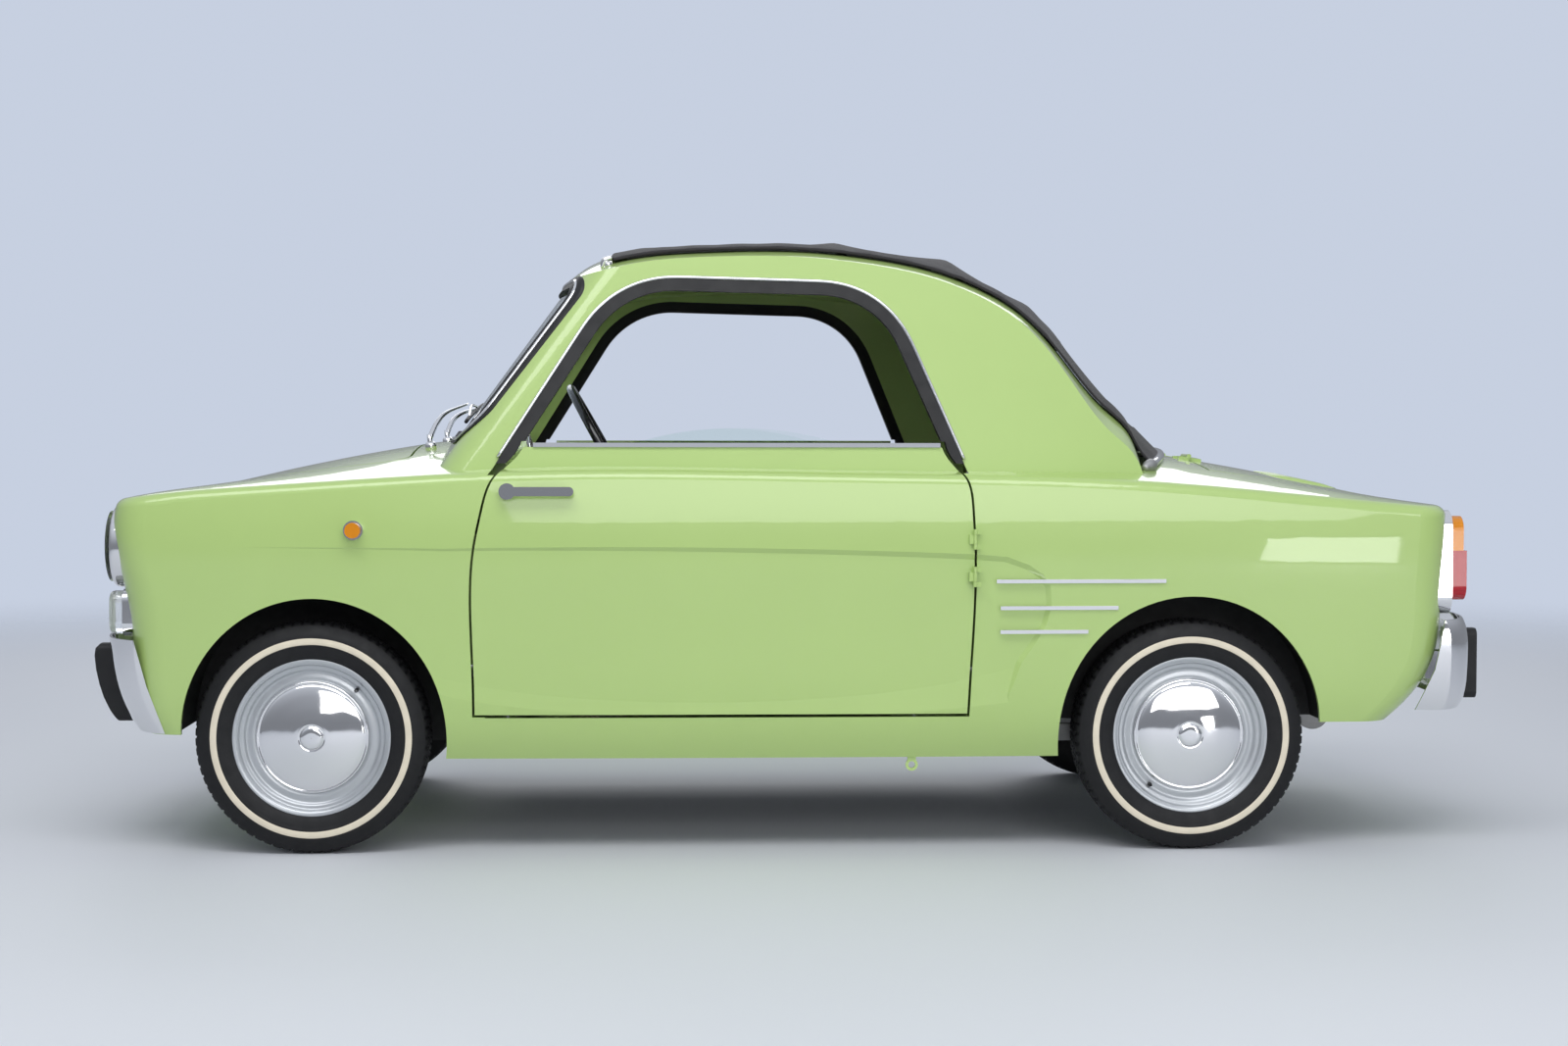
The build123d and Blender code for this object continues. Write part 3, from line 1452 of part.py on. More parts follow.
write_pair(make_wing(wall, thick, recess), "front_wing")
write_pair(make_side_frame(wall, thick, recess), "side_frame")
write(mirrored(make_sill(thick, recess)), "sills")
write(make_screen_frame(wall), "screen_frame")
write(make_nose_panel(wall, lower), "nose_panel")
write(make_rear_deck(wall, lower), "rear_deck")
write(make_tail_panel(wall), "tail_panel")
write(make_wheelhouses(lower_in), "wheelhouses")
write(make_floor(lower_cabin, lower_in), "floor_pan")
write(make_front_bulkhead(lower_in), "front_bulkhead")
write(make_rear_bulkhead(lower_in), "rear_bulkhead")

write(fuse(mirrored(make_window_seal()), make_screen_seal()), "glazing_seals")
write(make_windscreen(), "windscreen")
hood, rear_window = make_hood()
write(hood, "folding_top")
write(rear_window, "rear_window")
write(make_hood_bows(), "hood_bows")

write(make_dashboard(fuse(lower_in, cabin_top(PILLAR_THICKNESS))), "dashboard")
write(make_steering_column(), "steering_column")
write(make_seat_frames(), "seat_frames")
write(make_front_seats(), "front_seats")
write(make_rear_bench(), "rear_bench")

write(make_front_suspension(), "front_suspension")
write(make_rear_suspension(), "rear_suspension")
write(make_drivetrain(), "drivetrain")
write(make_engine(), "engine_block")
write(make_silencer(), "silencer")

write(make_bumper(FRONT_BUMPER, 1, FRONT_BUMPER_END, 320), "front_bumper")
write(make_bumper(REAR_BUMPER, -1, REAR_BUMPER_END, 340), "rear_bumper")
write(make_overriders(), "overriders")
write(make_lamp_bezels(outside), "lamp_bezels")
write(make_clear_lenses(outside), "clear_lenses")
write(make_amber_lenses(outside), "amber_lenses")
write(make_red_lenses(), "red_lenses")
write(make_body_trim(), "body_trim")

write_pair(make_door(thick, recess), "door")
write_pair(make_door_glass(), "door_glass")
write_pair(make_door_trim(), "door_trim")
write(make_front_lid(thin, lower), "front_lid")
write(make_engine_lid(thin, lower), "engine_lid")

write_pair(make_knuckle(), "knuckle")
write(make_steering_wheel(), "steering_wheel")
tyre = make_tyre()
rim = make_rim()
for axle, axle_x, track in (("front", FRONT_AXLE_X, TRACK_FRONT), ("rear", REAR_AXLE_X, TRACK_REAR)):
    for side, sign in (("left", 1), ("right", -1)):
        write(place_wheel(tyre, axle_x, track, sign), f"tyre_{axle}_{side}")
        write(place_wheel(rim, axle_x, track, sign), f"rim_{axle}_{side}")
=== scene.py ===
import math

import bmesh
import bpy
import numpy as np
from mathutils import Matrix, Vector
from mathutils.bvhtree import BVHTree


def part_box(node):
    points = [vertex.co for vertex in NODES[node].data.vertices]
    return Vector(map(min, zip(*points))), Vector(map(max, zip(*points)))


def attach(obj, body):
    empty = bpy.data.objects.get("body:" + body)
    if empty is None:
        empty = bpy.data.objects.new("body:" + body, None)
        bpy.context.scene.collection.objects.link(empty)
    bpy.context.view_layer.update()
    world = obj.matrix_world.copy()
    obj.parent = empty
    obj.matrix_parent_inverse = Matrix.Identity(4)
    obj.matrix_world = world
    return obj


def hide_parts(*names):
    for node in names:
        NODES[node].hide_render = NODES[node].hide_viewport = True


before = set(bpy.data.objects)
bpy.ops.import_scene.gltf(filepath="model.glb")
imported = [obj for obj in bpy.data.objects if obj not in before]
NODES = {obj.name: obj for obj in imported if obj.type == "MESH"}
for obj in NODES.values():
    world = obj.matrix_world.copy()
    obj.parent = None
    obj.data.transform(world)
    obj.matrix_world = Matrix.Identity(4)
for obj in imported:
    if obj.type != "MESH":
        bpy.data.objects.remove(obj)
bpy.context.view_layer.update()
TAU = 2 * math.pi
SIDES = (("left", 1), ("right", -1))
DOWN, UP_HIGH = (0, 0, -1), 2  # straight down, from above the car


# ---- materials

def link(tree, a, b):
    """Joins an output to an input."""
    tree.links.new(a, b)


def given(made, **values):
    """Sets some inputs of a shader node; an underscore in an input's name stands for a space."""
    for name, value in values.items():
        made.inputs[name.replace("_", " ")].default_value = value
    return made


def node(tree, kind, **values):
    """A new shader node with some inputs set."""
    return given(tree.nodes.new("ShaderNode" + kind), **values)


def uneven(tree, shader, height, strength, depth):
    """Lets a height disturb the surface's normal."""
    relief = node(tree, "Bump", Strength=strength, Distance=depth)
    link(tree, height, relief.inputs["Height"])
    link(tree, relief.outputs["Normal"], shader.inputs["Normal"])


NOISE_LOW, NOISE_HIGH = 0.3, 0.7  # the part of a noise's range that holds most of it
BUMP_DEPTH, RIB_DEPTH, RIB_STRENGTH = 0.001, 0.002, 0.5


def finish_of(
    name, colour, rough=0.5, metallic=0.0, coat=0.0, coat_rough=0.05, speckle=0.0, speckle_scale=40.0,
    bump=0.0, bump_scale=200.0, rough_spread=0.0, sheen=0.0, transmission=0.0, ior=1.45, ribs=0.0,
):
    """A procedural finish: a base colour with soft variation, varied roughness and a fine bump or ribs."""
    material = bpy.data.materials.new(name)
    material.use_nodes = True
    tree = material.node_tree
    shader = given(
        tree.nodes["Principled BSDF"], Base_Color=(*colour, 1), Roughness=rough, Metallic=metallic, IOR=ior,
        Coat_Weight=coat, Coat_Roughness=coat_rough, Sheen_Weight=sheen, Transmission_Weight=transmission,
    )
    place = node(tree, "TexCoord")
    if speckle or rough_spread:
        noise = node(tree, "TexNoise", Scale=speckle_scale, Detail=5)
        link(tree, place.outputs["Object"], noise.inputs["Vector"])
    if speckle:
        ramp = node(tree, "MapRange", From_Min=NOISE_LOW, From_Max=NOISE_HIGH, To_Min=1 - speckle,
                    To_Max=1 + speckle)
        link(tree, noise.outputs["Fac"], ramp.inputs["Value"])
        tint = node(tree, "VectorMath")
        tint.operation = "SCALE"
        tint.inputs[0].default_value = colour
        link(tree, ramp.outputs["Result"], tint.inputs["Scale"])
        link(tree, tint.outputs["Vector"], shader.inputs["Base Color"])
    if rough_spread:
        spread = node(tree, "MapRange", From_Min=NOISE_LOW, From_Max=NOISE_HIGH,
                      To_Min=max(0.0, rough - rough_spread), To_Max=min(1.0, rough + rough_spread))
        link(tree, noise.outputs["Fac"], spread.inputs["Value"])
        link(tree, spread.outputs["Result"], shader.inputs["Roughness"])
    if bump:
        grain = node(tree, "TexNoise", Scale=bump_scale, Detail=3)
        link(tree, place.outputs["Object"], grain.inputs["Vector"])
        uneven(tree, shader, grain.outputs["Fac"], bump, BUMP_DEPTH)
    if ribs:
        wave = node(tree, "TexWave", Scale=ribs)
        wave.bands_direction = "Y"
        link(tree, place.outputs["Object"], wave.inputs["Vector"])
        uneven(tree, shader, wave.outputs["Fac"], RIB_STRENGTH, RIB_DEPTH)
    return material


LENS = dict(rough=0.12, transmission=0.25, coat=0.25, ribs=48)
LOOKS = {
    "paint": dict(colour=(0.445, 0.615, 0.195), rough=0.32, coat=1.0, coat_rough=0.03, speckle=0.012,
        speckle_scale=3.0, rough_spread=0.04),
    "underbody": dict(colour=(0.022, 0.022, 0.022), rough=0.75, speckle=0.25, bump=0.3, bump_scale=300),
    "hood_cloth": dict(colour=(0.017, 0.015, 0.016), rough=0.8, speckle=0.12, speckle_scale=60, bump=0.35,
        bump_scale=1400, sheen=0.1),
    "clear_plastic": dict(colour=(0.9, 0.92, 0.9), rough=0.08, transmission=1.0, ior=1.2, rough_spread=0.04,
        speckle_scale=12),
    "glass": dict(colour=(0.93, 0.97, 0.95), rough=0.0, transmission=1.0, ior=1.1),
    "seal_rubber": dict(colour=(0.01, 0.01, 0.011), rough=0.55, rough_spread=0.08, speckle_scale=30),
    "chrome": dict(colour=(0.8, 0.8, 0.81), rough=0.06, metallic=1.0, rough_spread=0.03, speckle_scale=9),
    "seat_vinyl": dict(colour=(0.2, 0.135, 0.085), rough=0.45, speckle=0.06, bump=0.35, bump_scale=700,
        rough_spread=0.06),
    "black_plastic": dict(colour=(0.012, 0.012, 0.013), rough=0.22, coat=0.4),
    "bare_steel": dict(colour=(0.28, 0.28, 0.28), rough=0.45, metallic=0.9, speckle=0.15, rough_spread=0.1,
        speckle_scale=25),
    "cast_alloy": dict(colour=(0.42, 0.42, 0.42), rough=0.55, metallic=0.9, bump=0.4, bump_scale=350,
        speckle=0.1),
    "tyre": dict(colour=(0.004, 0.004, 0.005), rough=0.62, speckle=0.1, rough_spread=0.08, speckle_scale=35,
        bump=0.15, bump_scale=500),
    "whitewall": dict(colour=(0.78, 0.7, 0.55), rough=0.55, speckle=0.05, speckle_scale=30),
    "rim_paint": dict(colour=(0.5, 0.52, 0.54), rough=0.32, metallic=0.55, coat=0.3, rough_spread=0.04),
    "clear_lens": dict(colour=(0.93, 0.95, 0.96), rough=0.06, transmission=0.72, ribs=32),
    "amber_lens": dict(LENS, colour=(0.95, 0.33, 0.01)),
    "reflector": dict(colour=(0.86, 0.87, 0.88), rough=0.16, metallic=1.0, rough_spread=0.03,
        speckle_scale=20),
    "dial": dict(colour=(0.7, 0.68, 0.6), rough=0.35, speckle=0.02),
    "red_lens": dict(LENS, colour=(0.55, 0.008, 0.02)),
}
FINISH = {name: finish_of(name, **look) for name, look in LOOKS.items()}


def dress(name, finish):
    """Puts a finish on a CAD node through its object's own material slot."""
    o = NODES[name]
    if not o.material_slots:
        o.data.materials.append(None)
    for place in o.material_slots:
        place.link = "OBJECT"
        place.material = FINISH[finish]


GROUPS = {
    "paint":
        "front_wing_left front_wing_right side_frame_left side_frame_right sills screen_frame nose_panel "
        "rear_deck tail_panel front_bulkhead rear_bulkhead door_left door_right front_lid engine_lid "
        "dashboard",
    "underbody": "wheelhouses floor_pan",
    "seal_rubber": "glazing_seals overriders",
    "glass": "windscreen door_glass_left door_glass_right",
    "clear_plastic": "rear_window",
    "bare_steel":
        "hood_bows seat_frames front_suspension rear_suspension silencer knuckle_left knuckle_right",
    "black_plastic": "steering_column steering_wheel",
    "cast_alloy": "drivetrain engine_block",
    "chrome": "front_bumper rear_bumper lamp_bezels body_trim door_trim_left door_trim_right",
    "clear_lens": "clear_lenses",
    "amber_lens": "amber_lenses",
    "red_lens": "red_lenses",
    "hood_cloth": "folding_top",
    "seat_vinyl": "front_seats rear_bench",
}
for finish, members in GROUPS.items():
    for member in members.split():
        dress(member, finish)


# ---- mesh helpers

def placed(name, data):
    """A new object in the scene."""
    o = bpy.data.objects.new(name, data)
    bpy.context.scene.collection.objects.link(o)
    return o


def mesh_of(name, points, faces, finish):
    """A mesh object from points and faces, with one finish."""
    mesh = bpy.data.meshes.new(name)
    mesh.from_pydata([tuple(p) for p in points], [], faces)
    mesh.update()
    mesh.materials.append(FINISH[finish])
    mesh.shade_smooth()
    return placed(name, mesh)


def added(piece, body):
    """Lets a piece ride on a body."""
    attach(piece, body)
    return piece


def grid_faces(rows, columns, wrap=False, flip=False):
    """Quads of a grid of points listed row by row; wrap joins the last row to the first."""
    faces = []
    for i in range(rows if wrap else rows - 1):
        j = (i + 1) % rows
        for k in range(columns - 1):
            quad = (i * columns + k, j * columns + k, j * columns + k + 1, i * columns + k + 1)
            faces.append(quad[::-1] if flip else quad)
    return faces


def lathe(profile, steps):
    """Points and faces of (axle distance, radius) points turned about the Y axis."""
    profile = np.asarray(profile, float)
    angles = np.arange(steps) * TAU / steps
    y = np.broadcast_to(profile[:, 0], (steps, len(profile)))
    x = np.outer(np.cos(angles), profile[:, 1])
    z = np.outer(np.sin(angles), profile[:, 1])
    points = np.stack([x, y, z], -1).reshape(-1, 3)
    return points, grid_faces(steps, len(profile), wrap=True, flip=True)


def lengths(points):
    """How far along a line each of its points lies."""
    return np.concatenate([[0], np.cumsum(np.linalg.norm(np.diff(points, axis=0), axis=1))])


def spaced(points, count, closed=False):
    """That many points, evenly spaced along a line."""
    run = lengths(points)
    places = np.linspace(0, run[-1], count, endpoint=not closed)
    return np.stack([np.interp(places, run, points[:, k]) for k in range(points.shape[1])], -1)


SPLINE_STEPS = 24  # between two of the points that a curve goes through


def spline(points, count):
    """A smooth curve through points, evenly sampled along its length (Catmull-Rom)."""
    p = np.asarray(points, float)
    p = np.vstack([2 * p[0] - p[1], p, 2 * p[-1] - p[-2]])
    out = []
    for i in range(1, len(p) - 2):
        for t in np.linspace(0, 1, SPLINE_STEPS, endpoint=False):
            a, b, c, d = p[i - 1:i + 3]
            out.append(0.5 * (2 * b + (c - a) * t + (2 * a - 5 * b + 4 * c - d) * t * t
                              + (3 * b - a - 3 * c + d) * t ** 3))
    out.append(p[-2])
    return spaced(np.array(out), count)


# ---- wheels

TYRE_LOW, TYRE_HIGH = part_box("tyre_front_left")
AXLES = {  # the left wheel's middle, and how far the wheels are turned
    "front": ((TYRE_LOW + TYRE_HIGH) / 2, math.radians(-133)),
    "rear": (sum(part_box("tyre_rear_left"), Vector()) / 2, math.radians(52)),
}
TYRE_RADIUS = (TYRE_HIGH.z - TYRE_LOW.z) / 2
TYRE_HALF = (TYRE_HIGH.y - TYRE_LOW.y) / 2
TREAD_HALF, TREAD_EDGE_RADIUS = 0.04, 0.2412
GROOVES, GROOVE_HALF, GROOVE_DEPTH = (-0.026, -0.0105, 0.0105, 0.026), 0.0019, 0.0065
ZIGZAGS, ZIGZAG_REACH = 54, 0.0016
SLOTS, SLOT_LOW_Y, SLOT_HIGH_Y, SLOT_SHARE, SLOT_DEPTH = 72, 0.029, 0.0475, 0.12, 0.005
SIPES, SIPE_HALF, SIPE_SHARE, SIPE_DEPTH, SIPE_SLANT = 108, 0.0255, 0.13, 0.0022, 12
WALL_RINGS = ((0.1835, 0.0006), (0.1925, 0.0008), (0.2155, 0.0007))  # radius, height of each raised ring
WALL_RING_HALF = 0.0009
TYRE_STEPS = 432


def tyre_profile():
    """The tyre's section from its outer to its inner bead, over the tread, as (y, radius)."""
    wall = spline([
        (0.0485, 0.1575), (0.0525, 0.165), (0.0572, 0.176), (TYRE_HALF - 0.0007, 0.196),
        (TYRE_HALF - 0.0018, 0.212), (0.0555, 0.2245), (0.05, 0.2345),
    ], 34)
    shoulder = spline([(0.05, 0.2345), (0.0455, 0.2388), (TREAD_HALF, TREAD_EDGE_RADIUS)], 7)
    crown_y = np.linspace(TREAD_HALF, -TREAD_HALF, 67)[1:-1]
    rise = (TYRE_RADIUS - TREAD_EDGE_RADIUS) * (1 - (crown_y / TREAD_HALF) ** 2)
    crown = np.stack([crown_y, TREAD_EDGE_RADIUS + rise], -1)
    left = np.vstack([wall, shoulder[1:]])
    right = left[::-1] * [-1, 1]
    return np.vstack([left, crown, right])


def make_tyre_mesh():
    """Tyre with ribs, zigzag grooves and sipes, and a raised band on its outer wall."""
    profile = tyre_profile()
    shape = (TYRE_STEPS, len(profile))
    angles = np.arange(TYRE_STEPS) * TAU / TYRE_STEPS
    y, r = (np.broadcast_to(profile[:, k], shape) for k in range(2))
    a = np.broadcast_to(angles[:, None], shape)
    zig = ZIGZAG_REACH * (2 * np.abs((a * ZIGZAGS / TAU) % 1 * 2 - 1) - 1)
    tread = np.abs(y) < TREAD_HALF + 0.0002
    for groove in GROOVES:
        near = np.abs(y - groove - zig * np.sign(groove)) < GROOVE_HALF
        r = np.where(tread & near, r - GROOVE_DEPTH, r)
    pitch = (a * SLOTS / TAU) % 1
    slots = (np.abs(y) > SLOT_LOW_Y) & (np.abs(y) < SLOT_HIGH_Y) & (np.abs(pitch - 0.5) < SLOT_SHARE)
    r = np.where(slots, r - SLOT_DEPTH, r)
    pitch = (a * SIPES / TAU + y * SIPE_SLANT) % 1
    sipes = (np.abs(y) < SIPE_HALF) & (np.abs(pitch - 0.5) < SIPE_SHARE)
    r = np.where(sipes & tread & (np.abs(np.abs(y) - GROOVES[2]) > 0.0025), r - SIPE_DEPTH, r)
    for ring, lift in WALL_RINGS:
        y = y + np.where(y > TREAD_HALF, lift * np.exp(-((profile[:, 1] - ring) / WALL_RING_HALF) ** 2), 0)
    points = np.stack([np.cos(a) * r, y, np.sin(a) * r], -1).reshape(-1, 3)
    return points, grid_faces(*shape, wrap=True, flip=True)


BAND_RADII, BAND_LIFT = (0.1945, 0.2085), 0.0009


def make_band():
    """The cream ring on the outer side wall."""
    profile = tyre_profile()
    wall = profile[(profile[:, 0] > 0.05) & (profile[:, 1] > 0.17) & (profile[:, 1] < 0.225)]
    radius = np.linspace(*BAND_RADII, 9)
    y = np.interp(radius, wall[:, 1], wall[:, 0])
    lift = BAND_LIFT * np.clip(1 - np.abs(np.linspace(-1, 1, 9)) ** 8, 0, 1)
    return lathe(np.stack([y + lift - 0.0001, radius], -1), 180)


# pressed rim from its outer flange over the well to the disc, seen from outside
RIM = [
    (0.0495, 0.1535), (0.05, 0.16), (0.0508, 0.1632), (0.052, 0.164), (0.0522, 0.1625), (0.0518, 0.159),
    (0.05, 0.155), (0.0465, 0.1522), (0.0425, 0.1512), (0.0405, 0.15), (0.0398, 0.1478), (0.04, 0.1445),
    (0.0392, 0.142), (0.036, 0.14), (0.0335, 0.1385), (0.0325, 0.136), (0.0332, 0.1315), (0.0345, 0.127),
    (0.035, 0.1235), (0.0342, 0.1205), (0.0325, 0.118), (0.032, 0.11),
]
# the disc's back, the barrel and its inner flange
RIM_BACK = [
    (0.03, 0.11), (0.03, 0.146), (0.01, 0.148), (-0.044, 0.148), (-0.05, 0.153), (-0.051, 0.1632),
    (-0.05, 0.164), (-0.0485, 0.1625), (-0.0485, 0.152),
]
DRUM = [
    (0.03, 0.03), (-0.015, 0.032), (-0.015, 0.088), (-0.018, 0.0915), (-0.05, 0.092), (-0.053, 0.0915),
    (-0.053, 0.086), (-0.02, 0.085), (-0.02, 0.015),
]
# bright domed cap with a rolled edge and a shallow cone, and the small boss in its middle
CAP = [
    (0.033, 0.1168), (0.0362, 0.1172), (0.0382, 0.115), (0.0378, 0.1125), (0.0372, 0.11), (0.0402, 0.104),
    (0.0445, 0.088), (0.0492, 0.062), (0.052, 0.04), (0.0528, 0.029),
]
BOSS = [(0.0528, 0.0285), (0.052, 0.025), (0.0535, 0.0232), (0.0556, 0.02), (0.0566, 0.013), (0.0568, 0.0006)]
STEM = [(0.03, 0.0042), (0.044, 0.004), (0.0445, 0.003), (0.051, 0.003), (0.0515, 0.0026)]
STEM_RADIUS = 0.1345  # from the axle


def valve():
    """Valve stem standing in the rim's well."""
    points, faces = lathe(STEM, 16)
    return points + [STEM_RADIUS, 0, 0], [f[::-1] for f in faces]


WHEEL_PIECES = [
    ("tyre", make_tyre_mesh(), "tyre", "tyre"), ("whitewall", make_band(), "whitewall", "tyre"),
    ("rim", lathe(RIM, 144), "rim_paint", "rim_paint"),
    ("rim_back", lathe(RIM_BACK, 96), "rim_paint", "rim_paint"),
    ("drum", lathe(DRUM, 96), "bare_steel", "bare_steel"),
    ("hub_cap", lathe(np.vstack([spline(CAP, 60), spline(BOSS, 30)]), 160), "chrome", "chrome"),
    ("valve", valve(), "seal_rubber", "seal_rubber"),
]
for axle, (middle, turn) in AXLES.items():
    for side, sign in SIDES:
        centre = Matrix.Translation((middle.x, middle.y * sign, middle.z))
        for label, (points, faces), finish, slot in WHEEL_PIECES:
            name = f"{label}_visual_{axle}_{side}"
            if sign > 0:
                piece = mesh_of(name, points, faces, finish)
                piece.data.transform(Matrix.Rotation(turn, 4, "Y"))
                piece.matrix_world = centre
            else:
                piece = placed(name, bpy.data.objects[f"{label}_visual_{axle}_left"].data)
                piece.matrix_world = centre @ Matrix.Rotation(math.pi, 4, "Z")
            added(piece, f"wheel_{axle}_{side}")
            if label in ("tyre", "rim"):
                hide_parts(f"{label}_{axle}_{side}")


# ---- surfaces of the frame

def surface_of(*names):
    """A search tree over some CAD nodes, to lay pieces on their surfaces."""
    points, faces = [], []
    for name in names:
        mesh = NODES[name].data
        start = len(points)
        points.extend(v.co.copy() for v in mesh.vertices)
        faces.extend(tuple(start + i for i in p.vertices) for p in mesh.polygons)
    return BVHTree.FromPolygons(points, faces)


def hit(tree, start, towards):
    """Where a ray meets a surface, and the surface's outward normal there."""
    place, normal, _, _ = tree.ray_cast(Vector(start), Vector(towards))
    if place is None:
        return None, None
    if normal.dot(Vector(towards)) > 0:
        normal = -normal
    return np.array(place), np.array(normal)


def laid_path(tree, points, towards, out):
    """Points dropped onto a surface along one direction, each lifted by out along the normal."""
    path, normals = [], []
    for start in points:
        place, normal = hit(tree, start, towards)
        if place is not None:
            path.append(place + normal * out)
            normals.append(normal)
    return np.array(path), np.array(normals)


def smoothed(values, passes, closed=False):
    """A list of vectors with its unevenness averaged out."""
    values = np.array(values, float)
    for _ in range(passes):
        if closed:
            values = (np.roll(values, 1, 0) + 2 * values + np.roll(values, -1, 0)) / 4
        else:
            values[1:-1] = (values[:-2] + 2 * values[1:-1] + values[2:]) / 4
    return values


def unit(v):
    """The vectors at length one."""
    return v / np.linalg.norm(v, axis=-1, keepdims=True)


def skin(name, rings, finish, closed, body):
    """Joins rings of points one after another, with a cap at each end unless they close."""
    rows, count = rings.shape[:2]
    faces = []
    for i in range(rows if closed else rows - 1):
        j = (i + 1) % rows
        for k in range(count):
            m = (k + 1) % count
            faces.append((i * count + k, i * count + m, j * count + m, j * count + k))
    if not closed:
        faces.append(tuple(range(count))[::-1])
        faces.append(tuple((rows - 1) * count + k for k in range(count)))
    return added(mesh_of(name, rings.reshape(-1, 3), faces, finish), body)


def sweep(name, path, normals, section, finish, closed=False, body="body"):
    """Carries a section of (across, out) points along a path that has an outward normal at each point."""
    path, normals = np.array(path, float), unit(np.array(normals, float))
    if closed:
        tangent = unit(np.roll(path, -1, 0) - np.roll(path, 1, 0))
    else:
        tangent = unit(np.gradient(path, axis=0))
    across = unit(np.cross(tangent, normals))
    rings = path[:, None] + across[:, None] * section[None, :, :1] + normals[:, None] * section[None, :, 1:]
    return skin(name, rings, finish, closed, body)


SIDEWAYS = (0.31, 0.17, 0.93)  # along no bar that is drawn here


def tube(name, points, radius, finish, body="body", sides=12, bend=None):
    """A round bar along a path, smoothed into bend points; its radius may change along it."""
    path = spline(points, bend) if bend else np.array(points, float)
    tangent = unit(np.gradient(path, axis=0))
    normals = [unit(np.cross(tangent[0], SIDEWAYS))]
    for t in tangent[1:]:
        n = normals[-1] - t * np.dot(normals[-1], t)
        normals.append(n / np.linalg.norm(n))
    stops = np.linspace(0, 1, np.size(radius))
    radii = np.interp(np.linspace(0, 1, len(path)), stops, np.atleast_1d(radius))[:, None, None]
    ring = np.arange(sides) * TAU / sides
    normals = np.array(normals)
    across = np.cross(tangent, normals)
    rings = path[:, None] + radii * (
        across[:, None] * np.cos(ring)[None, :, None] + normals[:, None] * np.sin(ring)[None, :, None]
    )
    return skin(name, rings, finish, False, body)


def rounded(corners, radii, step=0.008):
    """A closed outline with its corners rounded, as 2-D points about a step apart."""
    corners = [np.array(c, float) for c in corners]
    out = []
    for i, corner in enumerate(corners):
        before = corners[i - 1] - corner
        after = corners[(i + 1) % len(corners)] - corner
        u, v = unit(before), unit(after)
        half = math.acos(np.clip(np.dot(u, v), -1, 1)) / 2
        reach = radii[i] / math.tan(half)
        start, end = corner + u * reach, corner + v * reach
        centre = corner + unit(u + v) * radii[i] / math.sin(half)
        first = math.atan2(*(start - centre)[::-1])
        turn = (math.atan2(*(end - centre)[::-1]) - first + math.pi) % TAU - math.pi
        count = max(2, int(abs(turn) * radii[i] / step))
        for a in first + turn * np.linspace(0, 1, count):
            out.append(centre + radii[i] * np.array([math.cos(a), math.sin(a)]))
    return np.array(out)


def even(points, step, closed=False):
    """Points about a step apart along a line."""
    points = np.array(points, float)
    if closed:
        points = np.vstack([points, points[:1]])
    return spaced(points, max(3, int(lengths(points)[-1] / step)), closed)


def half_round(width, height, count=7):
    """A domed strip's section, flat underneath."""
    angles = np.linspace(0, math.pi, count)
    return np.stack([width / 2 * np.cos(angles), height * np.sin(angles)], -1)


def mirror_piece(piece, body):
    """The same piece on the other side of the car."""
    other = piece.copy()
    other.data = piece.data.copy()
    other.name = piece.name.replace("_left", "_right")
    other.data.transform(Matrix.Scale(-1, 4, (0, 1, 0)))
    other.data.flip_normals()
    bpy.context.scene.collection.objects.link(other)
    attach(other, body)


# ---- folding top

_, HOOD_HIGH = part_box("folding_top")
HOOD_TREE = surface_of("folding_top", "rear_window")
HOOD_HALF = HOOD_HIGH.y - 0.001
CLOTH, PANE, PANE_DEPTH = 0.003, 0.0008, 0.0012  # thickness of both, and how far the pane lies in
HOOD_COLUMNS, HOOD_STEP = 113, 0.009
COLUMN_CROWDING = 0.86  # how much closer the cloth's grid is at the rails, at most 1
CROWN_POWER = 2.05  # 2 would be a parabola across the car
# where a bow or the header holds the cloth up: x, height in the middle
HOOD_RIDGES = [
    (HOOD_HIGH.x - 0.001, 1.2835), (0.333, 1.2945), (0.188, 1.2985), (0.04, 1.3035),
    (-0.099, 1.3095), (-0.353, 1.2745), (-0.537, 1.177), (-0.581, 1.1335),
]
FIRM_RIDGES = 2  # up to this one the header's board keeps the cloth from sagging
SAG_SHARE, SAG_MOST, REAR_SAG = 0.022, 0.009, 0.007
REAR_EDGE_X, REAR_EDGE_BOW, REAR_EDGE_HALF = -0.851, 0.094, 0.5
PANE_Z, PANE_HALF_WIDTH, PANE_HALF_HEIGHT, PANE_RADIUS = 0.985, 0.31, 0.095, 0.045
PROBE = 1e-4
DECK_TREE = surface_of("rear_deck", "side_frame_left", "side_frame_right", "rear_bulkhead")


def hood_edge(x):
    """Height of the roof rails' cloth edge at one place along the car."""
    place, _ = hit(HOOD_TREE, (x, HOOD_HALF - 0.004, UP_HIGH), DOWN)
    return place[2] - 0.0035


def rear_x(y):
    """How far back the bowed rear edge lies."""
    return REAR_EDGE_X + REAR_EDGE_BOW * (y / REAR_EDGE_HALF) ** 2


def rear_edge(y):
    """Where the cloth ends on the rear deck."""
    place, _ = hit(DECK_TREE, (rear_x(y) - 0.004, y, UP_HIGH), DOWN)
    return rear_x(y), place[2] + 0.006


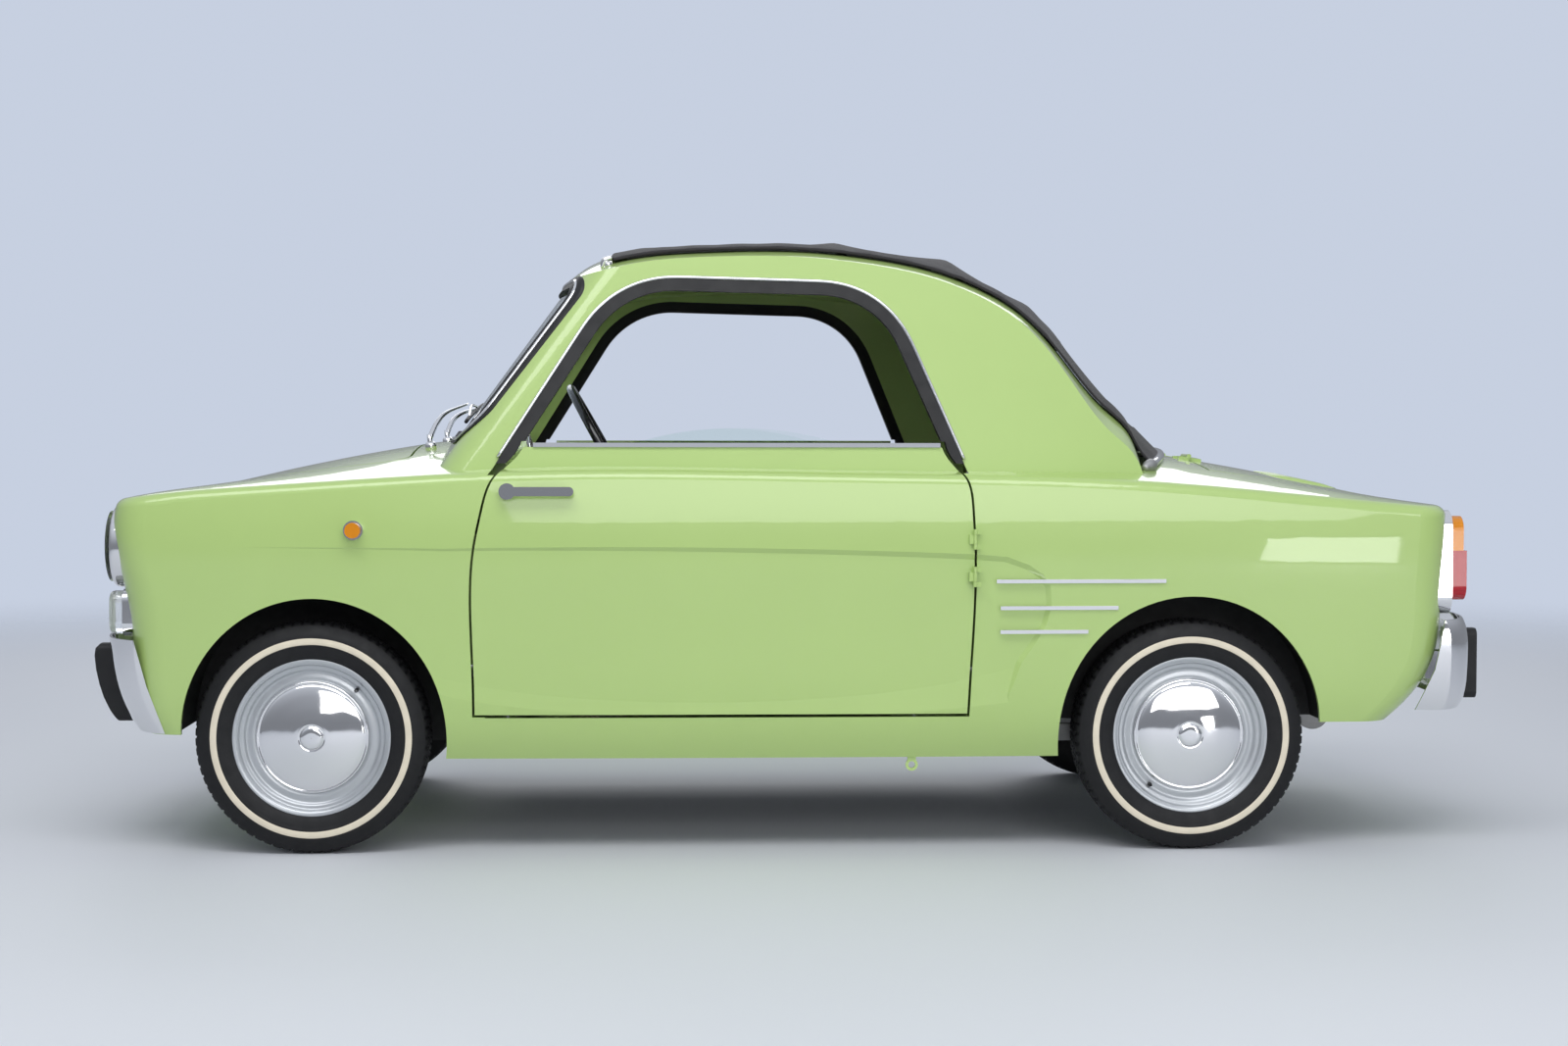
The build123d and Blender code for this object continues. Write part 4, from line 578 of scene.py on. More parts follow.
def hood_rows():
    """The cloth's outside, row by row from the windscreen to the rear deck."""
    quarter = math.pi / 2 * COLUMN_CROWDING
    across = np.sin(np.linspace(-1, 1, HOOD_COLUMNS) * quarter) / math.sin(quarter) * HOOD_HALF
    crown = 1 - np.abs(across / HOOD_HALF) ** CROWN_POWER
    ridges = []
    for x, middle in HOOD_RIDGES:
        edge = hood_edge(x)
        ridges.append(np.stack([np.full_like(across, x), across, edge + (middle - edge) * crown], -1))
    ridges.append(np.array([(rear_edge(y)[0], y, rear_edge(y)[1]) for y in across]))
    rows = []
    last = len(ridges) - 2
    for n, (a, b) in enumerate(zip(ridges[:-1], ridges[1:])):
        span = np.linalg.norm(b[len(b) // 2] - a[len(a) // 2])
        count = max(3, int(span / HOOD_STEP))
        deepest = REAR_SAG if n == last else min(SAG_MOST, span * SAG_SHARE) if n > FIRM_RIDGES else 0
        for t in np.linspace(0, 1, count, endpoint=n == last):
            row = a * (1 - t) + b * t
            normal = unit(np.cross(np.gradient(row, axis=0), unit(b - a)))
            normal *= np.where(normal[:, 2:] < 0, -1, 1)
            rows.append(row - normal * (4 * t * (1 - t) * deepest))
    rows = np.array(rows)
    for _ in range(2):
        rows[1:-1] = (rows[:-2] + 4 * rows[1:-1] + rows[2:]) / 6
    return held_up(rows)


RAIL_SHARE, RAIL_FADE = 0.7, 0.15  # from this share of the half width the rails carry the cloth
ON_RAIL, HANG = 0.0015, 0.012  # how far above the rails it lies, and below the metal it may hang inside them


def held_up(rows):
    """Lifts the cloth where it would sink into the rails, and lets it hang a little in between."""
    under = surface_of("folding_top", "side_frame_left", "side_frame_right", "rear_deck", "rear_window")
    lift = np.zeros(rows.shape[:2])
    for i, j in np.ndindex(*lift.shape):
        x, y, z = rows[i, j]
        place, _ = hit(under, (x, y, UP_HIGH), DOWN)
        if place is not None:
            share = min(1, max(0, (abs(y) / HOOD_HALF - RAIL_SHARE) / RAIL_FADE))
            lift[i, j] = max(0, place[2] + ON_RAIL - HANG * (1 - share) - z)
    lift[-1] = 0
    for _ in range(3):
        lift[1:-1] = np.maximum(lift[1:-1], (lift[:-2] + 2 * lift[1:-1] + lift[2:]) / 4)
    rows[..., 2] += lift
    return rows


# puckers: how long, how high, and how far in from the cloth's edge
RAIL_PUCKER, RAIL_PUCKER_HEIGHT, RAIL_PUCKER_SHARE = 0.085, 0.001, 0.28
DECK_PUCKER, DECK_PUCKER_HEIGHT, DECK_PUCKER_REACH = 0.11, 0.0012, 0.16


def edge_pull(rows):
    """Slight puckers where the cloth is pulled down to the rails and to the deck."""
    run = lengths(rows[:, HOOD_COLUMNS // 2])[:, None]
    y = rows[..., 1]
    share = np.abs(y) / HOOD_HALF
    near = np.clip((share - (1 - RAIL_PUCKER_SHARE)) / RAIL_PUCKER_SHARE, 0, 1)
    near = near * np.clip((1 - share) / 0.04, 0, 1)
    wave = np.sin(run * TAU / RAIL_PUCKER + 1.3 * np.sin(run * 9)) * RAIL_PUCKER_HEIGHT
    to_end = run[-1] - run
    foot = np.clip(1 - to_end / DECK_PUCKER_REACH, 0, 1) * np.clip(to_end / 0.02, 0, 1)
    fold = np.sin(y * TAU / DECK_PUCKER + 0.8 * np.sin(y * 13)) * DECK_PUCKER_HEIGHT
    rows[..., 2] += near * wave + foot * fold
    return rows


def in_pane(y, z):
    """How far inside the rear window's rounded outline a point lies; below zero is outside."""
    dy = np.abs(y) - (PANE_HALF_WIDTH - PANE_RADIUS)
    dz = np.abs(z - PANE_Z) - (PANE_HALF_HEIGHT - PANE_RADIUS)
    outside = np.hypot(np.maximum(dy, 0), np.maximum(dz, 0)) + np.minimum(np.maximum(dy, dz), 0)
    return PANE_RADIUS - outside


def thicken(piece, thickness, offset=-1):
    """Gives a surface a thickness, inwards unless the offset says otherwise."""
    solid = piece.modifiers.new("thickness", "SOLIDIFY")
    solid.thickness = thickness
    solid.offset = offset


def make_hood():
    """Cloth with a window in it: a sheet with a hole, and the clear pane."""
    rows = edge_pull(hood_rows())
    shape = rows.shape[:2]
    depth = in_pane(rows[..., 1], rows[..., 2])
    low = rows[..., 0] < -0.5
    cloth_faces, pane_faces = [], []
    for face in grid_faces(*shape):
        inside = [depth.flat[i] > 0 and low.flat[i] for i in face]
        (pane_faces if all(inside) else cloth_faces).append(face)
    shared = sorted({i for f in cloth_faces for i in f} & {i for f in pane_faces for i in f})
    points = rows.reshape(-1, 3).copy()
    tree = cloth_tree(rows)
    for i in shared:
        y, z = points[i, 1:]
        away = np.array([
            in_pane(y + PROBE, z) - in_pane(y - PROBE, z), in_pane(y, z + PROBE) - in_pane(y, z - PROBE)
        ])
        y, z = points[i, 1:] - unit(away) * in_pane(y, z)
        place, _ = hit(tree, (-2, y, z), (1, 0, 0))
        if place is not None:
            points[i] = place
    rows = points.reshape(rows.shape)
    cloth = mesh_of("cloth_top", points, cloth_faces, "hood_cloth")
    strip_loose(cloth)
    area = sum(p.area for p in cloth.data.polygons)
    thicken(cloth, CLOTH)
    inner = points - rows_normals(rows).reshape(-1, 3) * PANE_DEPTH
    pane = mesh_of("rear_pane", inner, pane_faces, "clear_plastic")
    strip_loose(pane)
    thicken(pane, PANE)
    added(pane, "body")
    added(cloth, "body")
    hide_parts("folding_top")
    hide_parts("rear_window")
    length = lengths(rows[:, HOOD_COLUMNS // 2])[-1]
    width = lengths(rows[len(rows) // 3])[-1]
    return cloth, rows, round(float(width), 2), round(float(length), 2), area


def cloth_tree(rows):
    """A search tree over the cloth's whole grid."""
    return BVHTree.FromPolygons([Vector(p) for p in rows.reshape(-1, 3)], grid_faces(*rows.shape[:2]))


def rows_normals(rows):
    """Outward normals of the cloth's grid."""
    normal = unit(np.cross(np.gradient(rows, axis=1), np.gradient(rows, axis=0)))
    return normal * np.where(normal[..., 2:] < 0, -1, 1)


def strip_loose(piece):
    """Drops the points that no face uses."""
    mesh = bmesh.new()
    mesh.from_mesh(piece.data)
    bmesh.ops.delete(mesh, geom=[v for v in mesh.verts if not v.link_faces], context="VERTS")
    mesh.to_mesh(piece.data)
    mesh.free()
    piece.data.shade_smooth()


cloth, HOOD_ROWS, flat_width, flat_length, hood_area = make_hood()
HOOD_NORMALS = rows_normals(HOOD_ROWS)


def hood_seam(name, path, normals, width, height, closed=False):
    """A raised strip of the same cloth."""
    return sweep(name, path, normals, half_round(width, height), "hood_cloth", closed)


def pane_outline(grow):
    """Places round the rear window on the cloth, with normals."""
    wide = PANE_HALF_WIDTH + grow
    low, high = PANE_Z - PANE_HALF_HEIGHT - grow, PANE_Z + PANE_HALF_HEIGHT + grow
    outline = rounded([(wide, low), (wide, high), (-wide, high), (-wide, low)], [PANE_RADIUS + grow] * 4)
    starts = [(-2, y, z) for y, z in even(outline, 0.01, closed=True)]
    return laid_path(cloth_tree(HOOD_ROWS), starts, (1, 0, 0), 0.0004)


STITCH = 0.0022
hood_seam("window_binding", *pane_outline(0.004), 0.018, 0.0026, closed=True)
hood_seam("window_seam", *pane_outline(0.016), STITCH, 0.0016, closed=True)
for side, column, inner in (("left", -1, -6), ("right", 0, 5)):
    edge = smoothed(HOOD_ROWS[::2, column], 2) + [0, 0, -0.0022]
    hood_seam(f"hem_{side}", edge, HOOD_NORMALS[::2, column], 0.011, 0.0048)
    hood_seam(f"hem_seam_{side}", HOOD_ROWS[::2, inner], HOOD_NORMALS[::2, inner], STITCH, 0.0014)
front_row = HOOD_ROWS[0, 2:-2:2] + [0.001, 0, -0.002]
hood_seam("hem_front", front_row, HOOD_NORMALS[0, 2:-2:2], 0.014, 0.005)
for n, x in enumerate((-0.099, -0.353, -0.559)):
    row = int(np.argmin(np.abs(HOOD_ROWS[:, HOOD_COLUMNS // 2, 0] - x)))
    for name, at in ((f"bow_seam_{n}_0", row - 2), (f"bow_seam_{n}_4", row + 2)):
        hood_seam(name, HOOD_ROWS[at, 4:-4:2], HOOD_NORMALS[at, 4:-4:2], STITCH, 0.0013)

# bright bar that clamps the cloth to the rear deck, with a cast cap at each end
BAR_HALF, BAR_BEND, CLOTH_END = 0.497, 0.3, 0.46
bar_y = np.linspace(-BAR_HALF, BAR_HALF, 81)
bar = []
for y in bar_y:
    _, z = rear_edge(np.clip(y, -CLOTH_END, CLOTH_END))
    bar.append((rear_x(y) - 0.002, y, z + 0.002 - 0.1 * max(0, abs(y) - CLOTH_END)))
bar = smoothed(bar, 6)
lean = unit(np.array([
    [-0.55, 0.25 * math.copysign(max(0, abs(y) - BAR_BEND), y), 0.83] for y in bar_y
]))
sweep("clamp_bar", bar, lean, half_round(0.02, 0.0085, 9), "chrome")
for side, sign, end in (("left", 1, bar[-1]), ("right", -1, bar[0])):
    tip = np.array(end) + [0.013, 0.018 * sign, -0.004]
    root = end + np.array([-0.007, -0.022 * sign, 0.003])
    tube(f"clamp_cap_{side}", [root, end, tip, tip + [0.004, 0.006 * sign, -0.002]],
         [0.01, 0.0145, 0.0135, 0.006], "cast_alloy", sides=20, bend=14)


# ---- bright trim

BODY_TREE = surface_of("side_frame_left", "screen_frame", "front_wing_left", "nose_panel")
SEAL_TREE = surface_of("glazing_seals")
WINDOW_CORNERS = [(0.648, 0.79), (0.382, 1.207), (-0.184, 1.192), (-0.36, 0.78)]
WINDOW_RADII = [0.01, 0.22, 0.205, 0.01]
WINDOW_FOOT_Z, WINDOW_GROW = 0.822, 0.0035

# the side window's outline, a little grown, from its front foot over the top to its rear foot
outline = even(rounded(WINDOW_CORNERS, WINDOW_RADII), 0.01, closed=True)
tangent = unit(np.gradient(outline, axis=0))
away = np.stack([-tangent[:, 1], tangent[:, 0]], -1)
away *= np.where(((outline - np.mean(WINDOW_CORNERS, 0)) * away).sum(1, keepdims=True) < 0, -1, 1)
outline = outline + away * WINDOW_GROW
line = even(outline[outline[:, 1] > WINDOW_FOOT_Z], 0.012)
path, normals = laid_path(BODY_TREE, [(x, 1, z) for x, z in line], (0, -1, 0), 0.0)
drip = sweep("drip_moulding_left", smoothed(path, 4), smoothed(normals, 6), half_round(0.0085, 0.0062, 9),
             "chrome")
mirror_piece(drip, "body")

SCREEN = [(-0.576, 0.856), (0.576, 0.856), (0.497, 1.212), (-0.497, 1.212)]
INSET = 0.009
corners = [(y - math.copysign(INSET, y), z + (INSET if z < 1 else -INSET)) for y, z in SCREEN]
outline = even(rounded(corners, [0.054] * 4, 0.006), 0.012, closed=True)
path, normals = laid_path(SEAL_TREE, [(2, y, z) for y, z in outline], (-1, 0, 0), 0.0)
sweep("screen_moulding", smoothed(path, 2, True), smoothed(normals, 3, True), half_round(0.008, 0.0032),
      "chrome", True)

# latches that hold the cloth's header down, at the roof's front corners
for side, sign in SIDES:
    place, _ = hit(BODY_TREE, (0.402, 0.468, UP_HIGH), DOWN)
    place = place * [1, sign, 1]
    top = place + [0.004, 0, 0.012]
    tube(f"latch_post_{side}", [place + [0, 0, -0.004], place + [0, 0, 0.008]], 0.0075, "chrome", sides=20)
    tube(f"latch_{side}", [top + [0.01, 0, -0.016], top + [0.004, 0, 0.0], top + [-0.012, 0, 0.006]],
         [0.0035, 0.0065, 0.0045], "chrome", sides=16, bend=12)

# wipers: a spindle in the scuttle, a sprung arm and a rubber blade on the glass
GLASS_TREE = surface_of("windscreen")
SCUTTLE_TREE = surface_of("screen_frame", "front_lid", "nose_panel")


def on_glass(y, z, out):
    """A place that far in front of the windscreen."""
    place, normal = hit(GLASS_TREE, (2, y, z), (-1, 0, 0))
    return place + normal * out


for side, spindle_y, tip_y in (("left", 0.285, -0.015), ("right", -0.165, -0.455)):
    seat, up = hit(SCUTTLE_TREE, (0.795, spindle_y, UP_HIGH), DOWN)
    tube(f"wiper_nut_{side}", [seat - up * 0.004, seat + up * 0.01, seat + up * 0.016],
         [0.013, 0.012, 0.008], "chrome", sides=24)
    hub = seat + up * 0.024
    tube(f"wiper_spindle_{side}", [seat, hub + up * 0.008], 0.0055, "chrome")
    middle_y = (spindle_y + tip_y) / 2 - 0.02
    hold = on_glass(middle_y, 0.925, 0.03)
    tube(f"wiper_arm_{side}", [hub, hub + [-0.012, -0.05, 0.034], (hub + hold) / 2 + [0.006, 0, 0.018], hold],
         [0.0062, 0.0055, 0.0032, 0.0026], "chrome", bend=20)
    blade_y, blade_z = np.linspace(spindle_y - 0.005, tip_y - 0.01, 15), np.linspace(0.897, 0.938, 15)
    blade = [on_glass(y, z, 0.0075) for y, z in zip(blade_y, blade_z)]
    tube(f"wiper_blade_{side}", blade, [0.0042, 0.0048, 0.0042], "seal_rubber", sides=10)
    tube(f"wiper_bridge_{side}", [blade[3], hold + [-0.008, 0, -0.004], blade[-4]], 0.0028, "chrome", bend=12)


# ---- lamps

def lathe_x(profile, steps, centre):
    """Points turned about a line along the car through a centre: (x, radius) pairs."""
    points, faces = lathe(profile, steps)
    return points[:, [1, 0, 2]] + centre, [f[::-1] for f in faces]


LAMP_Y, LAMP_Z, LAMP_RADIUS, LAMP_CLEAR = 0.52, 0.639, 0.074, 0.001
NOSE_TREE = surface_of("nose_panel", "front_wing_left", "front_wing_right")


def nose_x(y, z):
    """How far forward the painted nose comes behind a lamp's lens."""
    place, _ = hit(NOSE_TREE, (2, y, z), (-1, 0, 0))
    return place[0] if place is not None else 0


for side, sign in SIDES:
    behind = max(nose_x(LAMP_Y * sign + r * math.cos(a), LAMP_Z + r * math.sin(a))
                 for r in (0, 0.03, 0.06) for a in np.arange(12) * TAU / 12)
    centre = np.array([behind + LAMP_CLEAR, LAMP_Y * sign, LAMP_Z])
    bowl = [(0.0, 0.0005), (0.0004, 0.02), (0.0016, 0.04), (0.0036, 0.058), (0.0056, LAMP_RADIUS)]
    bulb = [(0.001, 0.012), (0.004, 0.012), (0.006, 0.009), (0.008, 0.005), (0.0085, 0.0005)]
    for name, profile, steps in (("reflector", bowl, 72), ("bulb", bulb, 24)):
        points, faces = lathe_x(profile, steps, centre)
        added(mesh_of(f"{name}_{side}", points, faces, "reflector"), "body")


# ---- seats

CUSHION_GAP, CUSHION_ROUNDING, CUSHION_GRID = 0.009, 0.022, 0.0075
SIM_FRAMES, SIM_PRESSURE, SIM_QUALITY = 14, 4, 4
SEAM_MARGIN, SEAM_PITCH, SEAM_DEPTH, SEAM_HALF, SEAM_FADE = 0.045, 0.055, 0.0045, 0.0035, 0.012


def block_mesh(name, low, high):
    """A closed block with sides divided and corners rounded, ready to be stuffed."""
    mesh = bmesh.new()
    bmesh.ops.create_cube(mesh, size=1)
    for v in mesh.verts:
        v.co = Vector([low[k] if v.co[k] < 0 else high[k] for k in range(3)])
    bmesh.ops.bevel(
        mesh, geom=mesh.edges[:], offset=CUSHION_ROUNDING, segments=4, profile=0.6, affect="EDGES")
    data = bpy.data.meshes.new(name)
    mesh.to_mesh(data)
    mesh.free()
    data.materials.append(FINISH["seat_vinyl"])
    o = placed(name, data)
    remesh = o.modifiers.new("even", "REMESH")
    remesh.mode = "VOXEL"
    remesh.voxel_size = CUSHION_GRID
    bake_modifiers(o)
    return o


def bake_modifiers(o):
    """Writes what the modifiers make into the object's own mesh."""
    graph = bpy.context.evaluated_depsgraph_get()
    graph.update()
    made = bpy.data.meshes.new_from_object(o.evaluated_get(graph))
    o.modifiers.clear()
    o.data = made
    made.shade_smooth()


def read(o, what="co"):
    """The places of an object's points, or their normals."""
    values = np.empty(len(o.data.vertices) * 3)
    o.data.vertices.foreach_get(what, values)
    return values.reshape(-1, 3)


def write(o, places):
    """Moves an object's points."""
    o.data.vertices.foreach_set("co", places.ravel())
    o.data.update()


def stuffed(o, cap):
    """Blows the cover up by cloth simulation, no point moving further than the cap."""
    start = read(o)
    cloth_sim = o.modifiers.new("stuffing", "CLOTH")
    cloth_sim.settings.quality = SIM_QUALITY
    cloth_sim.settings.use_pressure = True
    cloth_sim.settings.uniform_pressure_force = SIM_PRESSURE
    cloth_sim.settings.effector_weights.gravity = 0
    cloth_sim.point_cache.frame_start = 1
    cloth_sim.point_cache.frame_end = SIM_FRAMES
    for frame_number in range(1, SIM_FRAMES + 1):
        bpy.context.scene.frame_set(frame_number)
    bake_modifiers(o)
    move = read(o) - start
    length = np.linalg.norm(move, axis=1, keepdims=True)
    write(o, start + move * np.minimum(1, cap / np.maximum(length, 1e-9)))
    bpy.context.scene.frame_set(1)


def channels(o, axis, low, high):
    """Sewn channels, side by side across the face that looks along one axis, inside a sewn border."""
    places = read(o)
    facing = np.clip((read(o, "normal") @ np.array(axis)) * 2 - 1, 0, 1)
    flat = [1, 0 if axis[2] else 2]
    inside = np.minimum(places - low, high - places)[:, flat].min(1) - SEAM_MARGIN
    from_seam = ((places[:, 1] / SEAM_PITCH + 0.5) % 1 - 0.5) * SEAM_PITCH
    groove = np.exp(-(from_seam / SEAM_HALF) ** 2) * np.clip(inside / SEAM_FADE, 0, 1)
    border = np.exp(-(inside / SEAM_HALF) ** 2)
    write(o, places - np.array(axis) * ((groove + border) * facing * SEAM_DEPTH)[:, None])


def cushion_piece(name, low, high, axis, lean=0.0, pivot=None, cap=0.012):
    """One stuffed cushion with sewn channels, in the space between two corners."""
    low, high = np.array(low, float), np.array(high, float)
    o = block_mesh(name, low + CUSHION_GAP, high - CUSHION_GAP)
    stuffed(o, cap)
    channels(o, axis, low, high)
    if lean:
        turn = Matrix.Rotation(lean, 4, "Y")
        o.data.transform(Matrix.Translation(pivot) @ turn @ Matrix.Translation(-Vector(pivot)))
    added(o, "body")
    return o


SEAT_LOW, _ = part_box("front_seats")
BENCH_LOW, BENCH_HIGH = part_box("rear_bench")
SEAT_Y, SEAT_HALF, SEAT_LEAN, SEAT_PIVOT = 0.292, 0.21, math.radians(-14), (-0.07, 0, 0.36)
BENCH_SPLIT, BENCH_GAP = 0.1047, 0.005
seat_pieces = []
for side, sign in SIDES:
    y_low, y_high = sorted((sign * (SEAT_Y - SEAT_HALF), sign * (SEAT_Y + SEAT_HALF)))
    seat_pieces.append(cushion_piece(
        f"seat_cushion_{side}", (-0.06, y_low, SEAT_LOW.z + 0.001), (0.38, y_high, 0.47), (0, 0, 1)))
    seat_pieces.append(cushion_piece(
        f"seat_back_{side}", (-0.152, y_low, 0.362), (-0.062, y_high, 0.818), (1, 0, 0),
        SEAT_LEAN, SEAT_PIVOT))
for piece in seat_pieces:
    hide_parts("front_seats")
bench_seat = cushion_piece(
    "bench_cushion", (-0.668, BENCH_LOW.y, BENCH_LOW.z), (-0.484, BENCH_HIGH.y, BENCH_LOW.z + BENCH_SPLIT),
    (0, 0, 1), cap=0.01)
bench_back = cushion_piece(
    "bench_back", (-0.696, BENCH_LOW.y, BENCH_LOW.z + BENCH_SPLIT + BENCH_GAP),
    (-0.64, BENCH_HIGH.y, BENCH_HIGH.z), (1, 0, 0), cap=0.008)
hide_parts("rear_bench")
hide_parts("rear_bench")


# ---- cabin and lid details

DOOR_TREE = surface_of("door_left")
CARD_X, CARD_Z, CARD_RADIUS = np.linspace(-0.3, 0.52, 83), np.linspace(0.345, 0.735, 40), 0.05
CARD_OUT, CARD_THICK, CARD_LEAP = 0.0035, 0.003, 0.012
INSIDE_Y, TO_LEFT = 0.05, (0, 1, 0)


def door_card():
    """A trimmed panel that lies on the left door's inner face, with rounded corners."""
    y = np.full((len(CARD_X), len(CARD_Z)), np.nan)
    for i, j in np.ndindex(*y.shape):
        place, _ = hit(DOOR_TREE, (CARD_X[i], INSIDE_Y, CARD_Z[j]), TO_LEFT)
        if place is not None:
            y[i, j] = place[1]
    middle = np.nanmedian(y, axis=0)
    y = np.where(np.isnan(y) | (np.abs(y - middle) > CARD_LEAP), middle, y)
    x, z = np.meshgrid(CARD_X, CARD_Z, indexing="ij")
    points = np.stack([x, smoothed(smoothed(y, 4).T, 4).T - CARD_OUT, z], -1).reshape(-1, 3)
    keep = []
    for face in grid_faces(*y.shape):
        x, _, z = points[list(face)].mean(0)
        dx = max(CARD_X[0] + CARD_RADIUS - x, x - CARD_X[-1] + CARD_RADIUS, 0)
        dz = max(CARD_Z[0] + CARD_RADIUS - z, z - CARD_Z[-1] + CARD_RADIUS, 0)
        if math.hypot(dx, dz) < CARD_RADIUS:
            keep.append(face)
    piece = mesh_of("door_card_left", points, keep, "seat_vinyl")
    strip_loose(piece)
    thicken(piece, CARD_THICK, offset=0)
    return added(piece, "door_left")


def on_door(x, z, out):
    """A place that far inside the left door's inner face."""
    place, _ = hit(DOOR_TREE, (x, INSIDE_Y, z), TO_LEFT)
    return np.array([x, place[1] - out, z])


mirror_piece(door_card(), "door_right")
PULL = [(-0.02, 0.69, 0.002), (0.02, 0.69, 0.026), (0.15, 0.69, 0.028), (0.19, 0.69, 0.002)]
RELEASE = [(0.44, 0.7, 0.0), (0.44, 0.7, 0.018), (0.4, 0.694, 0.02), (0.37, 0.69, 0.02)]
for name, places, radius, bend in (
    ("door_pull_left", PULL, 0.0065, 24), ("door_release_left", RELEASE, [0.007, 0.0065, 0.005, 0.006], 18),
):
    handle = tube(name, [on_door(*p) for p in places], radius, "chrome", body="door_left", bend=bend)
    mirror_piece(handle, "door_right")

# speedometer: a bright ring, a pale face with plain marks, and a hand
DIAL, DIAL_RADIUS = np.array([0.573, 0.3, 0.828]), 0.046
dial_middle, _ = hit(surface_of("dashboard"), DIAL + [-0.25, 0, 0.05], unit(np.array([1.0, 0, -0.2])))
dial_out = unit(np.array([-1.0, 0, 0.24]))
dial_right = np.array([0.0, 1.0, 0.0])
dial_up = np.cross(dial_right, dial_out)


def on_dial(angle, radius, out):
    """A place on the speedometer, at an angle from its right."""
    return dial_middle + dial_out * out + (dial_right * math.cos(angle) + dial_up * math.sin(angle)) * radius


ring = np.arange(64) * TAU / 64
disc_points = [dial_middle + dial_out * 0.002] + [on_dial(a, DIAL_RADIUS - 0.002, 0.002) for a in ring]
disc_faces = [(0, 1 + i, 1 + (i + 1) % 64) for i in range(64)]
added(mesh_of("dial_face", disc_points, disc_faces, "dial"), "body")
sweep("dial_ring", [on_dial(a, DIAL_RADIUS, 0.001) for a in ring], [dial_out] * 64, half_round(0.006, 0.005),
      "chrome", True)
tube("dial_hand", [on_dial(3.6, 0.008, 0.0045), on_dial(3.6, -0.034, 0.0045)], [0.0016, 0.0006], "red_lens")
for n, angle in enumerate(np.linspace(-0.7, math.pi + 0.7, 9)):
    mark = [on_dial(angle, radius, 0.0028) for radius in (0.034, 0.04)]
    tube(f"dial_mark_{n}", mark, 0.0009, "black_plastic", sides=6)

# gear lever, hand brake and pedals
FLOOR_TREE = surface_of("floor_pan")


def on_floor(x, y):
    """A place on the cabin's floor."""
    place, _ = hit(FLOOR_TREE, (x, y, 0.6), DOWN)
    return place


foot = on_floor(0.41, 0.0)
tube("gear_lever", [foot, foot + [0.005, 0, 0.09], foot + [-0.045, 0.01, 0.255]], 0.005, "chrome", bend=20)
tube("gear_gaiter", [foot - [0, 0, 0.002], foot + [0, 0, 0.018], foot + [0.003, 0, 0.05]],
     [0.036, 0.026, 0.008], "seal_rubber", sides=28, bend=14)
knob = foot + [-0.049, 0.011, 0.268]
tube("gear_knob", [knob - [-0.003, 0.001, 0.016], knob - [-0.002, 0.001, 0.01], knob,
                   knob + [-0.001, 0, 0.012], knob + [-0.001, 0, 0.016]],
     [0.006, 0.015, 0.0185, 0.012, 0.002], "black_plastic", sides=28, bend=24)
foot = on_floor(0.18, 0.0)
tube("hand_brake", [foot + [0.05, 0, 0.0], foot + [0.03, 0, 0.04], foot + [-0.05, 0, 0.085],
                    foot + [-0.16, 0, 0.11]], [0.008, 0.008, 0.007, 0.011], "bare_steel", bend=24)
BIG_PAD, SMALL_PAD = [0.014, 0.024, 0.026, 0.022], [0.01, 0.016, 0.018, 0.015]
for n, (y, radii) in enumerate(((0.4, BIG_PAD), (0.315, BIG_PAD), (0.225, SMALL_PAD))):
    foot = on_floor(0.63, y)
    pad = foot + [-0.055, 0, 0.115]
    tube(f"pedal_arm_{n}", [foot, foot + [-0.002, 0, 0.055], pad + [0.006, 0, 0]], 0.0055, "bare_steel",
         bend=14)
    tube(f"pedal_pad_{n}", [pad + [0.012, 0, -0.004], pad, pad + [-0.01, 0, 0.0035],
                            pad + [-0.014, 0, 0.005]], radii, "seal_rubber", sides=24)

# pressed louvres in the engine cover, in two groups
LID_TREE = surface_of("engine_lid")
LOUVRES, LOUVRE_Y, LOUVRE_PITCH, LOUVRE_X = 6, 0.105, 0.03, np.linspace(-1.075, -1.225, 13)
from_end = np.minimum(np.arange(13), np.arange(13)[::-1])
sunk = (1 - np.clip(from_end / 2.5, 0.08, 1)[:, None]) * 0.004
for side, sign in SIDES:
    for n in range(LOUVRES):
        y = sign * (LOUVRE_Y + LOUVRE_PITCH * n)
        path, normals = laid_path(LID_TREE, [(x, y, UP_HIGH) for x in LOUVRE_X], DOWN, -0.0015)
        sweep(f"louvre_{n}_{side}", path - normals * sunk, normals, half_round(0.017, 0.0068, 9), "paint",
              body="engine_lid")


# ---- stage, light and camera

def mixed(tree, share, first, second):
    """A mix of two shaders."""
    made = node(tree, "MixShader")
    for k, output in enumerate((share, first, second)):
        link(tree, output, made.inputs[k])
    return made.outputs["Shader"]


def faded(o, start, end):
    """Lets the floor melt into the background far from the car."""
    tree = o.material_slots[0].material.node_tree
    place = node(tree, "TexCoord")
    distance = node(tree, "VectorMath")
    distance.operation = "LENGTH"
    link(tree, place.outputs["Object"], distance.inputs[0])
    fade = node(tree, "MapRange", From_Min=start, From_Max=end)
    fade.interpolation_type = "SMOOTHERSTEP"
    link(tree, distance.outputs["Value"], fade.inputs["Value"])
    solid = tree.nodes["Principled BSDF"].outputs["BSDF"]
    gone = node(tree, "BsdfTransparent").outputs["BSDF"]
    both = mixed(tree, fade.outputs["Result"], solid, gone)
    link(tree, both, tree.nodes["Material Output"].inputs["Surface"])


bpy.ops.mesh.primitive_plane_add(size=60)
floor = bpy.context.object
floor.name = "floor"
floor.data.materials.append(finish_of("floor", (0.74, 0.76, 0.8), rough=0.6))
faded(floor, 3.5, 9.0)


